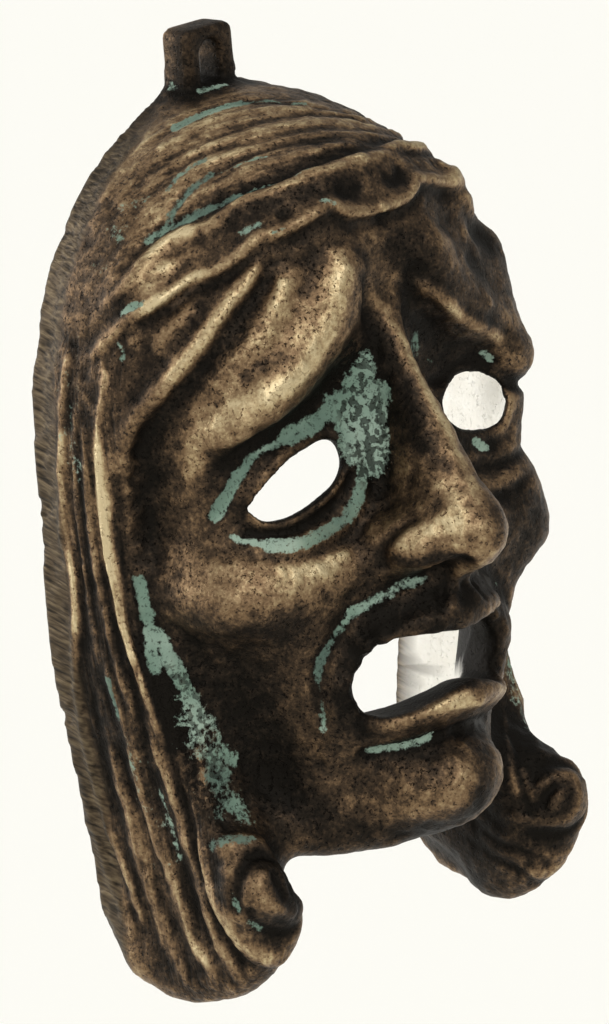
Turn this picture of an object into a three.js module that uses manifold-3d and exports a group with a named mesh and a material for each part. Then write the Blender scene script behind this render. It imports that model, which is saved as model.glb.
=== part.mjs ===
// Greek theatre mask of Tragedy: one hollow bronze casting made to hang on a wall.
// Millimetres, +Z up. The origin is the middle of the hanging eye in the plane of the ground back rim.
// The face looks along -Y, so every "depth" below is measured forwards from the back plane.

import * as THREE from 'three';
import { mergeVertices } from 'three/addons/utils/BufferGeometryUtils.js';
import Module from 'manifold-3d';

// Driving dimensions of the casting
const HALF_WIDTH = 34.6;        // back rim, at the temples
const CROWN_Z = -3;             // top of the back rim
const TEMPLE_Z = -46;           // height of the widest place
const JAW_Z = -101.5;           // underside of the jaw
const WALL = 3.2;               // thickness of the casting
const RIM_WIDTH = 3.4;          // ground rim that lies on the wall
const SIDE_DRAFT = 0.02;        // how far the sides lean in for each millimetre forwards
const CROWN_ROUNDING = 8.1;     // further lean at full depth
const FULL_DEPTH = 33;
const EDGE_BLEND = 8;           // softness of the turn from the sides to the face
const LOCK_INNER_X = 20.4;      // side of each hanging lock towards the chin
const LOCK_MIDDLE_X = 28;
const LOCK_SPREAD = 2.5;        // how fast the gap between the locks closes above the jaw
const LEFT_LOCK_SHORTER = 2.2;
const LOCK_TAPER = 0.2;         // how its lower end rises towards the chin, least at the front
const LOCK_TAPER_DEPTH = 36;
const BACK_ALLOWANCE = 1.6;     // metal behind the back plane before the rim is ground flat

// Facet sizes, and how far from the origin the skin is looked for
const OUTSIDE_GRID = { x: 2.55, y: 2.75, z: 2.65 };
const INSIDE_GRID = { x: 5.2, y: 5.2, z: 5.2 };
const OUTSIDE_REACH = { side: 38.5, front: 54, back: 3, bottom: -124, top: 0 };
const INSIDE_REACH = { side: 36.5, front: 52, back: 9, bottom: -104, top: 3 };
const FILM = 0.05;              // least metal at a filled corner of the grid

// Hanging lug
const LUG_WIDTH = 8.2;
const LUG_THICKNESS = 4;
const LUG_TOP = 5.1;
const LUG_FOOT_Z = -9;
const LUG_CORNER = 2;
const EYE_WIDTH = 4.6;
const EYE_BOTTOM = -3.2;
const EYE_TOP = 3.3;
const LUG_SHOULDER = 0.4;       // how far the lug spreads where it grows out of the crown
const LUG_FOOT_SPREAD = 1.6;

// Heights paired with a size, from the top down
const SIDE_WIDTHS = [[-46, 34.6], [-60, 34.3], [-72, 34.3], [-79, 33.7], [-85, 32.6], [-92, 31.3],
  [-105, 30.4], [-122, 29.5]];
const FACE_WIDTHS = [[-24, 38], [-34, 33.5], [-42, 31.4], [-50, 29.6], [-56, 29], [-64, 29.4],
  [-70, 28.2], [-76, 26.2], [-84, 24.2], [-94, 22.4], [-104, 21]];
const MIDDLE_DEPTHS = [[0, 33], [-15, 33.6], [-25, 33.4], [-32, 33], [-44, 32.4], [-52, 32.6], [-60, 34],
  [-66, 35], [-74, 35.5], [-82, 35.4], [-90, 34.8], [-101, 33.5]];
const SIDE_DEPTHS = [[0, 26], [-15, 27.5], [-25, 29], [-36, 30.6], [-44, 30.6], [-51, 28.8], [-58, 29.6],
  [-65, 30.4], [-73, 25.5], [-80, 21.5], [-90, 17.4], [-101, 16]];
const HAIR_DEPTHS = [[-5, 3], [-14, 11], [-20, 18.5], [-26, 22], [-32, 20.6], [-40, 17.5], [-50, 15.8],
  [-58, 15.8], [-66, 17.5], [-73, 20.3], [-79, 21.2], [-88, 22.6], [-94, 25], [-99, 29.4], [-104, 31],
  [-108, 31], [-114, 29]];
const LOCK_BOTTOMS = [[0, -111.5], [4, -116.5], [8, -119.6], [14, -121.4], [20, -120.8], [25, -118.4],
  [29, -114], [32, -108]];

// Full forms, mirrored left and right: centre and radii as [x, depth, z]
const FORMS = [
  { name: 'nose tip', centre: [0, 43.8, -60.2], radii: [5.2, 6.2, 5], blend: 3 },
  { name: 'nostril wing', centre: [6.4, 39.6, -60.6], radii: [4, 5, 3.8], blend: 2.5 },
  { name: 'muzzle', centre: [0, 29.4, -76], radii: [14.4, 13.3, 15], blend: 5 },
  { name: 'chin', centre: [0, 33.8, -93.6], radii: [10, 9.4, 7.6], blend: 4 },
  { name: 'cheek', centre: [22.6, 23.8, -64.5], radii: [9, 7.5, 6], blend: 5 },
];
const NOSE_RIDGE = { from: [0, 29.2, -29], to: [0, 43.4, -58], radius: [3, 4.4], blend: 4 };

// Strokes of the modelling tool on the surface, mirrored: positive heights are ridges, negative are grooves
const STROKES = [
  { name: 'eye socket', path: [[8, 33, -41], [13, 32, -44], [20, 31, -47], [27, 29, -51]],
    width: 5.2, height: -4 },
  { name: 'eyeball', path: [[11, 31, -48.6], [17, 30, -49.6], [22, 28, -51.6]], width: 4.6, height: 3 },
  { name: 'brow', path: [[7.4, 34, -23.5], [9, 34.5, -29], [12, 34.5, -34], [17, 34, -38], [24, 32.5, -41],
    [30, 29, -43.5]], width: 3, height: 2.8 },
  { name: 'forehead swell', path: [[14.5, 33, -24], [17, 32.5, -30], [22, 31, -35]],
    width: 3.6, height: 1.6 },
  { name: 'brow furrow', path: [[0, 34, -27], [3.4, 34.5, -32], [4.8, 35, -37]], width: 1.9, height: -2 },
  { name: 'cheek roll', path: [[29, 29, -65], [21, 32, -64], [13, 35.5, -62.6]], width: 3.2, height: 1.8 },
  { name: 'lower lid furrow', path: [[25, 28.5, -56], [18, 30, -57.2], [11, 32.5, -55], [8.5, 34, -51]],
    width: 1.6, height: -1.4 },
  { name: 'cheek hollow', path: [[24, 27.5, -75], [22.5, 27, -83], [21, 26, -90]],
    width: 4.6, height: -2.6 },
  { name: 'nose to mouth fold', path: [[5, 41, -65.6], [11.5, 37, -67.4], [17, 33.4, -73.6],
    [19.4, 31.4, -82]], width: 1.8, height: -2 },
  { name: 'lip roll', path: [[0, 43, -70.8], [7, 41, -71], [12.6, 36.4, -74], [15.6, 33.4, -79],
    [15.2, 32.6, -84]], width: 2.6, height: 2.2 },
  { name: 'lower lip', path: [[0, 42.2, -82], [5, 41, -82.4], [10, 37, -84.4]], width: 2.5, height: 3 },
  { name: 'chin groove', path: [[0, 39.6, -87.4], [6, 38.4, -88], [12, 34.4, -89]],
    width: 2, height: -1.4 },
  { name: 'band lower edge', path: [[0, 34.6, -17], [7, 33.8, -16.4], [14, 31, -16.8], [20, 28.6, -18.8],
    [25, 26.2, -21], [28.4, 22.6, -23], [30.4, 15, -26], [31.6, 6, -28]], width: 1.7, height: 1.9 },
  { name: 'band upper edge', path: [[0, 33.4, -10.8], [5, 31.8, -11.6], [10, 29, -11.8], [17, 26, -13.2],
    [23, 22.6, -16], [27, 18.4, -19.4], [30, 14, -23.4]], width: 1.7, height: 1.6 },
  { name: 'under the band', path: [[0, 34, -20.6], [9, 33.4, -20.4], [16, 31, -21.4], [22, 29, -23.6]],
    width: 1.8, height: -1.6 },
  { name: 'forelock', path: [[18.6, 30.6, -21], [24, 29.6, -25], [27.6, 27.4, -29.6], [30.4, 24.4, -34],
    [32.4, 19.6, -39], [33, 15.6, -46], [32.8, 14.4, -54], [32.6, 15, -62]], width: 2, height: 2.2 },
  { name: 'forelock valley', path: [[13.4, 32.4, -22], [18.4, 32, -27.4], [24.4, 30, -33.4],
    [29.6, 26.6, -38.6], [31.6, 22, -44]], width: 1.9, height: -1.8 },
  { name: 'temple crease', path: [[31.8, 18.6, -46], [31.6, 17.6, -56], [31.4, 18.6, -66], [30, 23, -74],
    [27.6, 25.6, -82], [24.6, 25.6, -91]], width: 2, height: -2.2 },
];
const SIDE_STRANDS = 4;         // locks of hair combed down each side
const SIDE_STRAND = { top: -34, bottom: -113, step: 8, behind: 5, width: 1.7, height: 1.3 };
const CROWN_STRANDS = 4;        // locks of hair combed over the crown, behind the band
const CROWN_STRAND = { width: 1.6, height: 1, narrowing: 0.25, recess: 0.8, droop: 0.6 };
const CURL = { centre: [27.3, 27, -103.2], radii: [6, 4.6, 6.6], blend: 2.5 };
const CURL_RING = { radius: 5, stretch: 1.05, forwards: 2.4, facets: 16, width: 1.3, height: -1.7 };

// Openings cut through the casting, as outlines in the face's plane: [x, z]
const EYE_HOLE = [[24.2, -53], [22.6, -50.6], [18.5, -47.6], [13.4, -45.4], [9.8, -45.6], [8.8, -47.6],
  [10.6, -50.4], [15, -53], [20, -54.8]];
const MOUTH_HOLE = [[0, -73.4], [5, -73.2], [9, -72.8], [12, -74], [13.7, -76.6], [14, -79.4],
  [12.8, -81.9], [10.4, -82.8], [7.4, -82], [4.2, -80.3], [0, -79.3]];
const HOLE_SINK = 14;           // how far behind the front surface a hole's cutter still reaches

function interpolate(table, at) {
  const rising = table[0][0] < table[table.length - 1][0];
  const rows = rising ? table : [...table].reverse();
  if (at <= rows[0][0]) return rows[0][1];
  for (let i = 1; i < rows.length; i += 1) {
    const [start, startValue] = rows[i - 1];
    const [end, endValue] = rows[i];
    if (at <= end) {
      const before = rows[Math.max(i - 2, 0)];
      const after = rows[Math.min(i + 1, rows.length - 1)];
      const slopeIn = (endValue - before[1]) / (end - before[0]);
      const slopeOut = (after[1] - startValue) / (after[0] - start);
      const span = end - start;
      const t = (at - start) / span;
      const [t2, t3] = [t * t, t * t * t];
      return (2 * t3 - 3 * t2 + 1) * startValue + (t3 - 2 * t2 + t) * span * slopeIn
        + (3 * t2 - 2 * t3) * endValue + (t3 - t2) * span * slopeOut;
    }
  }
  return rows[rows.length - 1][1];
}

function softMin(a, b, blend) {
  const near = Math.max(blend - Math.abs(a - b), 0) / blend;
  return Math.min(a, b) - near * near * blend / 4;
}

function softMax(a, b, blend) {
  return -softMin(-a, -b, blend);
}

// Distance inside the outline of the back rim, seen from the front
function insideOutline(x, z) {
  if (z < TEMPLE_Z) return interpolate(SIDE_WIDTHS, z) - x;
  const height = CROWN_Z - TEMPLE_Z;
  const [u, v] = [x / HALF_WIDTH, (z - TEMPLE_Z) / height];
  const reach = Math.hypot(u, v);
  const steepness = Math.hypot(u / HALF_WIDTH, v / height);
  return steepness < 1e-6 ? HALF_WIDTH : reach * (1 - reach) / steepness;
}

function lean(depth) {
  return SIDE_DRAFT * depth + CROWN_ROUNDING * (Math.max(depth, 0) / FULL_DEPTH) ** 2;
}

function frontDepth(x, z) {
  const middle = interpolate(MIDDLE_DEPTHS, z);
  return middle - (middle - interpolate(SIDE_DEPTHS, z)) * (x / 30) ** 2.2;
}

function insideEllipsoid(form, x, depth, z) {
  const [a, b, c] = form.radii;
  const [u, v, w] = [(x - form.centre[0]) / a, (depth - form.centre[1]) / b, (z - form.centre[2]) / c];
  const reach = Math.hypot(u, v, w);
  const steepness = Math.hypot(u / a, v / b, w / c);
  return steepness < 1e-6 ? Math.min(a, b, c) : reach * (1 - reach) / steepness;
}

// Nearest place on a path of straight stretches: distance and share of the way along it
function nearest(points, x, depth, z) {
  let [best, along] = [Infinity, 0];
  for (let i = 1; i < points.length; i += 1) {
    const [a, b] = [points[i - 1], points[i]];
    const [ux, uy, uz] = [b[0] - a[0], b[1] - a[1], b[2] - a[2]];
    const t = THREE.MathUtils.clamp(
      ((x - a[0]) * ux + (depth - a[1]) * uy + (z - a[2]) * uz) / (ux * ux + uy * uy + uz * uz), 0, 1);
    const distance = Math.hypot(x - a[0] - t * ux, depth - a[1] - t * uy, z - a[2] - t * uz);
    if (distance < best) {
      best = distance;
      along = (i - 1 + t) / (points.length - 1);
    }
  }
  return [best, along];
}

function smoothPath(path) {
  const curve = new THREE.CatmullRomCurve3(path.map((p) => new THREE.Vector3(...p)));
  return curve.getPoints(path.length * 4).map((p) => p.toArray());
}

// Locks combed down the sides follow the depth of the hair, those on the crown follow the band
function hairStrokes() {
  const strokes = [];
  for (let i = 0; i < SIDE_STRANDS; i += 1) {
    const share = (i + 0.5) / SIDE_STRANDS;
    const path = [];
    for (let z = SIDE_STRAND.top; z >= SIDE_STRAND.bottom; z -= SIDE_STRAND.step) {
      const depth = SIDE_STRAND.behind + share * (interpolate(HAIR_DEPTHS, z) - SIDE_STRAND.behind);
      path.push([interpolate(SIDE_WIDTHS, z) - SIDE_DRAFT * depth, depth, z]);
    }
    strokes.push({ path, ...SIDE_STRAND });
  }
  const band = STROKES.find((stroke) => stroke.name === 'band upper edge').path;
  const { narrowing, recess, droop } = CROWN_STRAND;
  for (let i = 1; i <= CROWN_STRANDS; i += 1) {
    const share = i / (CROWN_STRANDS + 1);
    const path = band.map(([x, depth, z]) => [x * (1 - narrowing * share), depth * (1 - recess * share),
      z + (CROWN_Z - z) * share * (1 - droop * x / HALF_WIDTH)]);
    strokes.push({ path, ...CROWN_STRAND });
  }
  return strokes;
}

function curlRing() {
  const { radius, stretch, forwards, facets } = CURL_RING;
  const [x, depth, z] = CURL.centre;
  const points = [];
  for (let i = 0; i <= facets; i += 1) {
    const angle = i / facets * 2 * Math.PI;
    points.push([x + radius * Math.cos(angle), depth + forwards, z + stretch * radius * Math.sin(angle)]);
  }
  return points;
}

const strokes = [...STROKES, ...hairStrokes()]
  .map((stroke) => ({ ...stroke, points: smoothPath(stroke.path) }))
  .concat({ ...CURL_RING, points: curlRing() });

function headBody(x, depth, z) {
  const sides = softMin(insideOutline(x, z) - lean(depth), interpolate(FACE_WIDTHS, z) - x, 3);
  const turned = softMin(sides, frontDepth(x, z) - depth, EDGE_BLEND);
  return softMin(turned, z - JAW_Z, 5);
}

// The locks hang free of each other only below the jaw; above it the hair backs the whole face
function hairBody(x, depth, z, isLeft) {
  const sides = insideOutline(x, z) - SIDE_DRAFT * depth;
  const front = interpolate(HAIR_DEPTHS, z) - depth;
  const taper = LOCK_TAPER * Math.max(LOCK_MIDDLE_X - x, 0) ** 2 * (1 - depth / LOCK_TAPER_DEPTH);
  const bottom = z - interpolate(LOCK_BOTTOMS, depth) - taper - (isLeft ? LEFT_LOCK_SHORTER : 0);
  const parting = x - LOCK_INNER_X + LOCK_SPREAD * Math.max(z - JAW_Z - 3, 0);
  const lock = softMin(softMin(sides, front, 8), softMin(bottom, parting, 4), 6);
  return softMax(lock, insideEllipsoid(CURL, x, depth, z), CURL.blend);
}

function noseRidge(x, depth, z) {
  const { from, to, radius, blend } = NOSE_RIDGE;
  const [distance, along] = nearest([from, to], x, depth, z);
  return [radius[0] + (radius[1] - radius[0]) * along - distance, blend];
}

// Depth of metal around a point: positive inside the solid form, before it is hollowed and ground flat
function metalAround(x, depth, z) {
  const side = Math.abs(x);
  let head = headBody(side, depth, z);
  for (const form of FORMS) head = softMax(head, insideEllipsoid(form, side, depth, z), form.blend);
  const [ridge, blend] = noseRidge(side, depth, z);
  head = softMax(head, ridge, blend);
  let inside = softMax(head, hairBody(side, depth, z, x > 0), 2);
  for (const stroke of strokes) {
    const [distance] = nearest(stroke.points, side, depth, z);
    if (distance < 3 * stroke.width) inside += stroke.height * Math.exp(-((distance / stroke.width) ** 2));
  }
  return inside;
}

function solidField(x, y, z) {
  return Math.min(metalAround(x, -y, z), BACK_ALLOWANCE - y);
}

function hollowField(x, y, z) {
  const [side, depth] = [Math.abs(x), -y];
  const rim = insideOutline(side, z) - RIM_WIDTH - lean(depth);
  const floor = z - JAW_Z - WALL - 1;
  const hollow = softMin(softMin(rim, floor, 4), metalAround(x, depth, z) - WALL, 2);
  return Math.min(hollow, depth + 2 * BACK_ALLOWANCE);
}

function steps(from, to, size) {
  const count = Math.ceil((to - from) / size);
  return Array.from({ length: count + 1 }, (_, i) => from + (to - from) * i / count);
}

// Where a grid square has metal at two opposite corners only, one of the others is filled,
// because the skin would otherwise touch itself along an edge
function fillCheckerboards(values, strides) {
  let changed = true;
  while (changed) {
    changed = false;
    for (const [a, b] of [[strides[0], strides[1]], [strides[0], strides[2]], [strides[1], strides[2]]]) {
      for (let here = 0; here + a + b < values.length; here += 1) {
        const [p, q, r, s] = [here, here + a, here + b, here + a + b];
        const [inP, inQ, inR, inS] = [values[p] > 0, values[q] > 0, values[r] > 0, values[s] > 0];
        if (inP !== inS || inQ !== inR || inP === inQ) continue;
        const [first, second] = inP ? [q, r] : [p, s];
        values[values[first] > values[second] ? first : second] = FILM;
        changed = true;
      }
    }
  }
}

// Closed skin around the places where the field is positive: one vertex in each cell that the skin crosses
function skin(field, xs, ys, zs) {
  const [nx, ny, nz] = [xs.length, ys.length, zs.length];
  const at = (i, j, k) => (k * ny + j) * nx + i;
  const values = new Float64Array(nx * ny * nz);
  for (let k = 0; k < nz; k += 1) {
    for (let j = 0; j < ny; j += 1) {
      for (let i = 0; i < nx; i += 1) values[at(i, j, k)] = field(xs[i], ys[j], zs[k]);
    }
  }
  fillCheckerboards(values, [1, nx, nx * ny]);
  const corners = [[0, 0, 0], [1, 0, 0], [0, 1, 0], [1, 1, 0], [0, 0, 1], [1, 0, 1], [0, 1, 1], [1, 1, 1]];
  const edges = [[0, 1], [2, 3], [4, 5], [6, 7], [0, 2], [1, 3], [4, 6], [5, 7],
    [0, 4], [1, 5], [2, 6], [3, 7]];
  const [positions, vertexOf] = [[], new Map()];
  for (let k = 0; k < nz - 1; k += 1) {
    for (let j = 0; j < ny - 1; j += 1) {
      for (let i = 0; i < nx - 1; i += 1) {
        const value = corners.map(([a, b, c]) => values[at(i + a, j + b, k + c)]);
        const place = corners.map(([a, b, c]) => [xs[i + a], ys[j + b], zs[k + c]]);
        const crossings = edges.filter(([a, b]) => (value[a] > 0) !== (value[b] > 0));
        if (crossings.length === 0) continue;
        const middle = [0, 0, 0];
        for (const [a, b] of crossings) {
          const t = value[a] / (value[a] - value[b]);
          for (let axis = 0; axis < 3; axis += 1) {
            middle[axis] += (place[a][axis] + t * (place[b][axis] - place[a][axis])) / crossings.length;
          }
        }
        vertexOf.set(at(i, j, k), positions.length);
        positions.push(settle(field, settle(field, middle)));
      }
    }
  }
  const triangles = [];
  const addQuad = (cells, flip) => {
    const [a, b, c, d] = cells.map((cell) => vertexOf.get(cell));
    const quad = flip ? [a, d, c, b] : [a, b, c, d];
    triangles.push([quad[0], quad[1], quad[2]], [quad[0], quad[2], quad[3]]);
  };
  for (let k = 1; k < nz - 1; k += 1) {
    for (let j = 1; j < ny - 1; j += 1) {
      for (let i = 1; i < nx - 1; i += 1) {
        const here = values[at(i, j, k)] > 0;
        if (here !== values[at(i + 1, j, k)] > 0) {
          addQuad([at(i, j - 1, k - 1), at(i, j, k - 1), at(i, j, k), at(i, j - 1, k)], !here);
        }
        if (here !== values[at(i, j + 1, k)] > 0) {
          addQuad([at(i - 1, j, k - 1), at(i - 1, j, k), at(i, j, k), at(i, j, k - 1)], !here);
        }
        if (here !== values[at(i, j, k + 1)] > 0) {
          addQuad([at(i - 1, j - 1, k), at(i, j - 1, k), at(i, j, k), at(i - 1, j, k)], !here);
        }
      }
    }
  }
  return { positions, triangles };
}

// Moves a vertex along the field's slope towards the skin, by no more than a limit
function settle(field, point) {
  const reach = 0.05;
  const limit = 0.6;
  const flattest = 0.2;
  const [x, y, z] = point;
  const value = field(x, y, z);
  const ahead = [field(x + reach, y, z), field(x, y + reach, z), field(x, y, z + reach)];
  const slope = ahead.map((next) => (next - value) / reach);
  const steepness = Math.max(slope[0] ** 2 + slope[1] ** 2 + slope[2] ** 2, flattest);
  const step = THREE.MathUtils.clamp(value / steepness, -limit, limit);
  return [x - step * slope[0], y - step * slope[1], z - step * slope[2]];
}

const wasm = await Module();
wasm.setup();

function solidFrom(positions, triangles) {
  return new wasm.Manifold(new wasm.Mesh({
    numProp: 3,
    vertProperties: new Float32Array(positions.flat()),
    triVerts: new Uint32Array(triangles.flat()),
  }));
}

function solidFromGeometry(geometry) {
  const bare = geometry.clone();
  bare.deleteAttribute('normal');
  bare.deleteAttribute('uv');
  const merged = mergeVertices(bare, 1e-4);
  return new wasm.Manifold(new wasm.Mesh({
    numProp: 3,
    vertProperties: new Float32Array(merged.attributes.position.array),
    triVerts: new Uint32Array(merged.index.array),
  }));
}

// Slab with an outline in X and Z, from one depth to another
function slab(shape, fromDepth, toDepth) {
  const options = { depth: toDepth - fromDepth, bevelEnabled: false, curveSegments: 6 };
  const geometry = new THREE.ExtrudeGeometry(shape, options);
  geometry.rotateX(Math.PI / 2);
  geometry.translate(0, -fromDepth, 0);
  return solidFromGeometry(geometry);
}

function outlineShape(points) {
  const curve = new THREE.CatmullRomCurve3(points.map(([x, z]) => new THREE.Vector3(x, z, 0)), true);
  const places = curve.getPoints(points.length * 2).slice(0, -1);
  return new THREE.Shape(places.map((place) => new THREE.Vector2(place.x, place.y)));
}

function mirrored(points) {
  return points.map(([x, z]) => [-x, z]).reverse();
}

function lugSolid() {
  const [half, corner] = [LUG_WIDTH / 2, LUG_CORNER];
  const block = new THREE.Shape();
  block.moveTo(-half - LUG_FOOT_SPREAD, LUG_FOOT_Z);
  block.lineTo(half + LUG_FOOT_SPREAD, LUG_FOOT_Z);
  block.lineTo(half + LUG_SHOULDER, CROWN_Z);
  block.lineTo(half, 0);
  block.lineTo(half, LUG_TOP - corner);
  block.absarc(half - corner, LUG_TOP - corner, corner, 0, Math.PI / 2);
  block.absarc(corner - half, LUG_TOP - corner, corner, Math.PI / 2, Math.PI);
  block.lineTo(-half, 0);
  block.lineTo(-half - LUG_SHOULDER, CROWN_Z);
  return slab(block, -BACK_ALLOWANCE, LUG_THICKNESS);
}

function lugEye() {
  const radius = EYE_WIDTH / 2;
  const hole = new THREE.Shape();
  hole.moveTo(-radius, EYE_BOTTOM);
  hole.lineTo(radius, EYE_BOTTOM);
  hole.absarc(0, EYE_TOP - radius, radius, 0, Math.PI);
  return slab(hole, -2 * BACK_ALLOWANCE, 2.5 * LUG_THICKNESS);
}

function skinWithin(field, reach, grid) {
  return skin(field, steps(-reach.side, reach.side, grid.x), steps(-reach.front, reach.back, grid.y),
    steps(reach.bottom, reach.top, grid.z));
}

// Cutter for a hole through the front, from behind the wall to in front of the whole mask
function holeThrough(outline) {
  return slab(outlineShape(outline), HOLE_SINK, OUTSIDE_REACH.front);
}

function theatreMask() {
  const outside = skinWithin(solidField, OUTSIDE_REACH, OUTSIDE_GRID);
  const inside = skinWithin(hollowField, INSIDE_REACH, INSIDE_GRID);
  let mask = solidFrom(outside.positions, outside.triangles);
  mask = mask.subtract(solidFrom(inside.positions, inside.triangles));
  const mouth = [...MOUTH_HOLE, ...mirrored(MOUTH_HOLE).slice(1, -1)];
  for (const outline of [EYE_HOLE, mirrored(EYE_HOLE), mouth]) mask = mask.subtract(holeThrough(outline));
  mask = mask.add(lugSolid()).subtract(lugEye());
  const wallSide = new THREE.BoxGeometry(120, 20, 200);
  wallSide.translate(0, 10, -60);
  return mask.subtract(solidFromGeometry(wallSide));
}

function meshFrom(solid, name, material) {
  const { vertProperties, triVerts } = solid.getMesh();
  const geometry = new THREE.BufferGeometry();
  geometry.setAttribute('position', new THREE.BufferAttribute(new Float32Array(vertProperties), 3));
  geometry.setIndex(new THREE.BufferAttribute(new Uint32Array(triVerts), 1));
  geometry.computeVertexNormals();
  const mesh = new THREE.Mesh(geometry, material);
  mesh.name = name;
  return mesh;
}

const bronze = new THREE.MeshStandardMaterial({ color: 0x7a5b3c, roughness: 0.45, metalness: 0.9 });

const mask = new THREE.Group();
mask.add(meshFrom(theatreMask(), 'theatre_mask', bronze));

export default mask;
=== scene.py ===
"""A small cast bronze mask of Greek tragedy that hangs on a wall, modelled in clay and patinated."""

import math

import bpy
import numpy as np
import openvdb
from bpy.props import FloatProperty, FloatVectorProperty, IntProperty, PointerProperty
from mathutils import Matrix, Vector


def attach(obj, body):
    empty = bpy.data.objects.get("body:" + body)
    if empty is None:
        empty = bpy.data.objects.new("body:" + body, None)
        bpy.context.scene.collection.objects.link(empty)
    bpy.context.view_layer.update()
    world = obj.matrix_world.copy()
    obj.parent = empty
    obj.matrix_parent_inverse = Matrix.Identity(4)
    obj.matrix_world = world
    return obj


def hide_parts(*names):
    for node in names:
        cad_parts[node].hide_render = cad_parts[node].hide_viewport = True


bl_info = {
    "name": "Tragedy mask",
    "version": (1, 0, 0),
    "blender": (4, 5, 0),
    "location": "View3D > Sidebar > Mask",
    "description": "Models the cast mask from its plain solid and lights it for a picture",
    "category": "Add Mesh",
}

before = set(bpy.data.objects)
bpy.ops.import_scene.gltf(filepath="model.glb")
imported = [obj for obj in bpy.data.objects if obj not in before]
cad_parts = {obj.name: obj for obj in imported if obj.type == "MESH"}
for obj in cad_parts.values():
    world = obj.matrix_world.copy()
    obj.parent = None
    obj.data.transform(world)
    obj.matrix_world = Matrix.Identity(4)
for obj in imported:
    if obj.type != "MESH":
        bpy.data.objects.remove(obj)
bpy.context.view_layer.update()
MM = 0.001


# Strokes of the modelling tool. Their places are in millimetres from the middle of the hanging eye: towards
# the mask's own right, forward from the back rim, and down. Both halves of the mask get them, or only their
# own side where the comment says so


def shifted(path, forward, down):
    """The same path further forward and down."""
    return [(right, ahead + forward, height + down) for right, ahead, height in path]


# Edges of the rolled band, from the temple to the middle of the forehead
BAND_TOP = [
    (31.5, 12, 26), (30, 15.7, 22.8), (28.5, 16.4, 20.6), (26, 16.9, 19.4), (23.6, 17.5, 18),
    (21.8, 19.4, 17.1), (19.9, 22.4, 16.3), (17.5, 23.9, 14.5), (16.1, 25.4, 13.2), (14.3, 27.5, 12.6),
    (11.5, 28.5, 12.2), (9, 28.9, 11.2), (5.3, 29.9, 11.3), (0, 30.3, 11),
]
BAND_LOW = [
    (32.3, 11, 32.5), (31.7, 14.8, 28.5), (30.7, 17.7, 26.5), (29.2, 20.2, 24.8), (26.4, 21.3, 23.3),
    (24.3, 22.1, 22.4), (22.8, 24.5, 21.8), (21, 26.6, 20.2), (19.5, 28.1, 18.5), (17.8, 28.8, 17.5),
    (16.1, 30.5, 17.3), (13.2, 31.4, 16.7), (10.7, 32.5, 15.5), (8.5, 32.6, 15.1), (5.7, 33.4, 16.8),
    (1.5, 33.8, 17.3), (0, 33.8, 17.3),
]
# Furrows between the strands of the crown, each from the right over to the left
CROWN_FURROWS = [
    [(15.8, 7.6, 8.6), (11.9, 8.8, 6.4), (7, 10.2, 5), (2.8, 12.3, 4.6), (-1.9, 16.8, 5), (-8.8, 19.5, 8),
     (-15, 17, 11), (-20, 13, 15)],
    [(20.4, 9.6, 12), (16.3, 12, 9.1), (12.1, 14.2, 7.8), (7.5, 16.6, 6.7), (1.4, 19.2, 6.1),
     (-4.8, 20.7, 7.3), (-10, 22, 9.6), (-16, 20.6, 13), (-21.6, 16, 17)],
    [(21.7, 12.5, 13.5), (18.2, 13, 10.9), (15.3, 14.7, 9.3), (11.8, 17.4, 8.5), (8.2, 20.5, 7.7),
     (3.4, 22.5, 7.6), (-2.7, 24.4, 8.3), (-9.8, 25.2, 10.6), (-16, 23, 14.4), (-22.6, 18, 18.6)],
    [(24.6, 14.6, 18.4), (21.7, 16.3, 15.2), (19.1, 16.9, 12.6), (16.8, 18.3, 11), (11.9, 20.7, 9.3),
     (6.9, 23.4, 8.3), (0.8, 26.6, 8.6), (-6.3, 27.6, 10.4), (-13, 26, 13.6), (-21, 21.6, 19)],
    [(27.6, 14, 20.4), (25.2, 15, 18.4), (21.3, 17.6, 15.8), (18.3, 20.9, 14.1), (14.2, 24.7, 12.3),
     (9.4, 27.9, 10.8), (3.7, 28.7, 10.2), (-2.6, 29.5, 10.4), (-8.9, 29.4, 12.1), (-15, 27.6, 15.2),
     (-22, 23, 20.6)],
]
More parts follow.
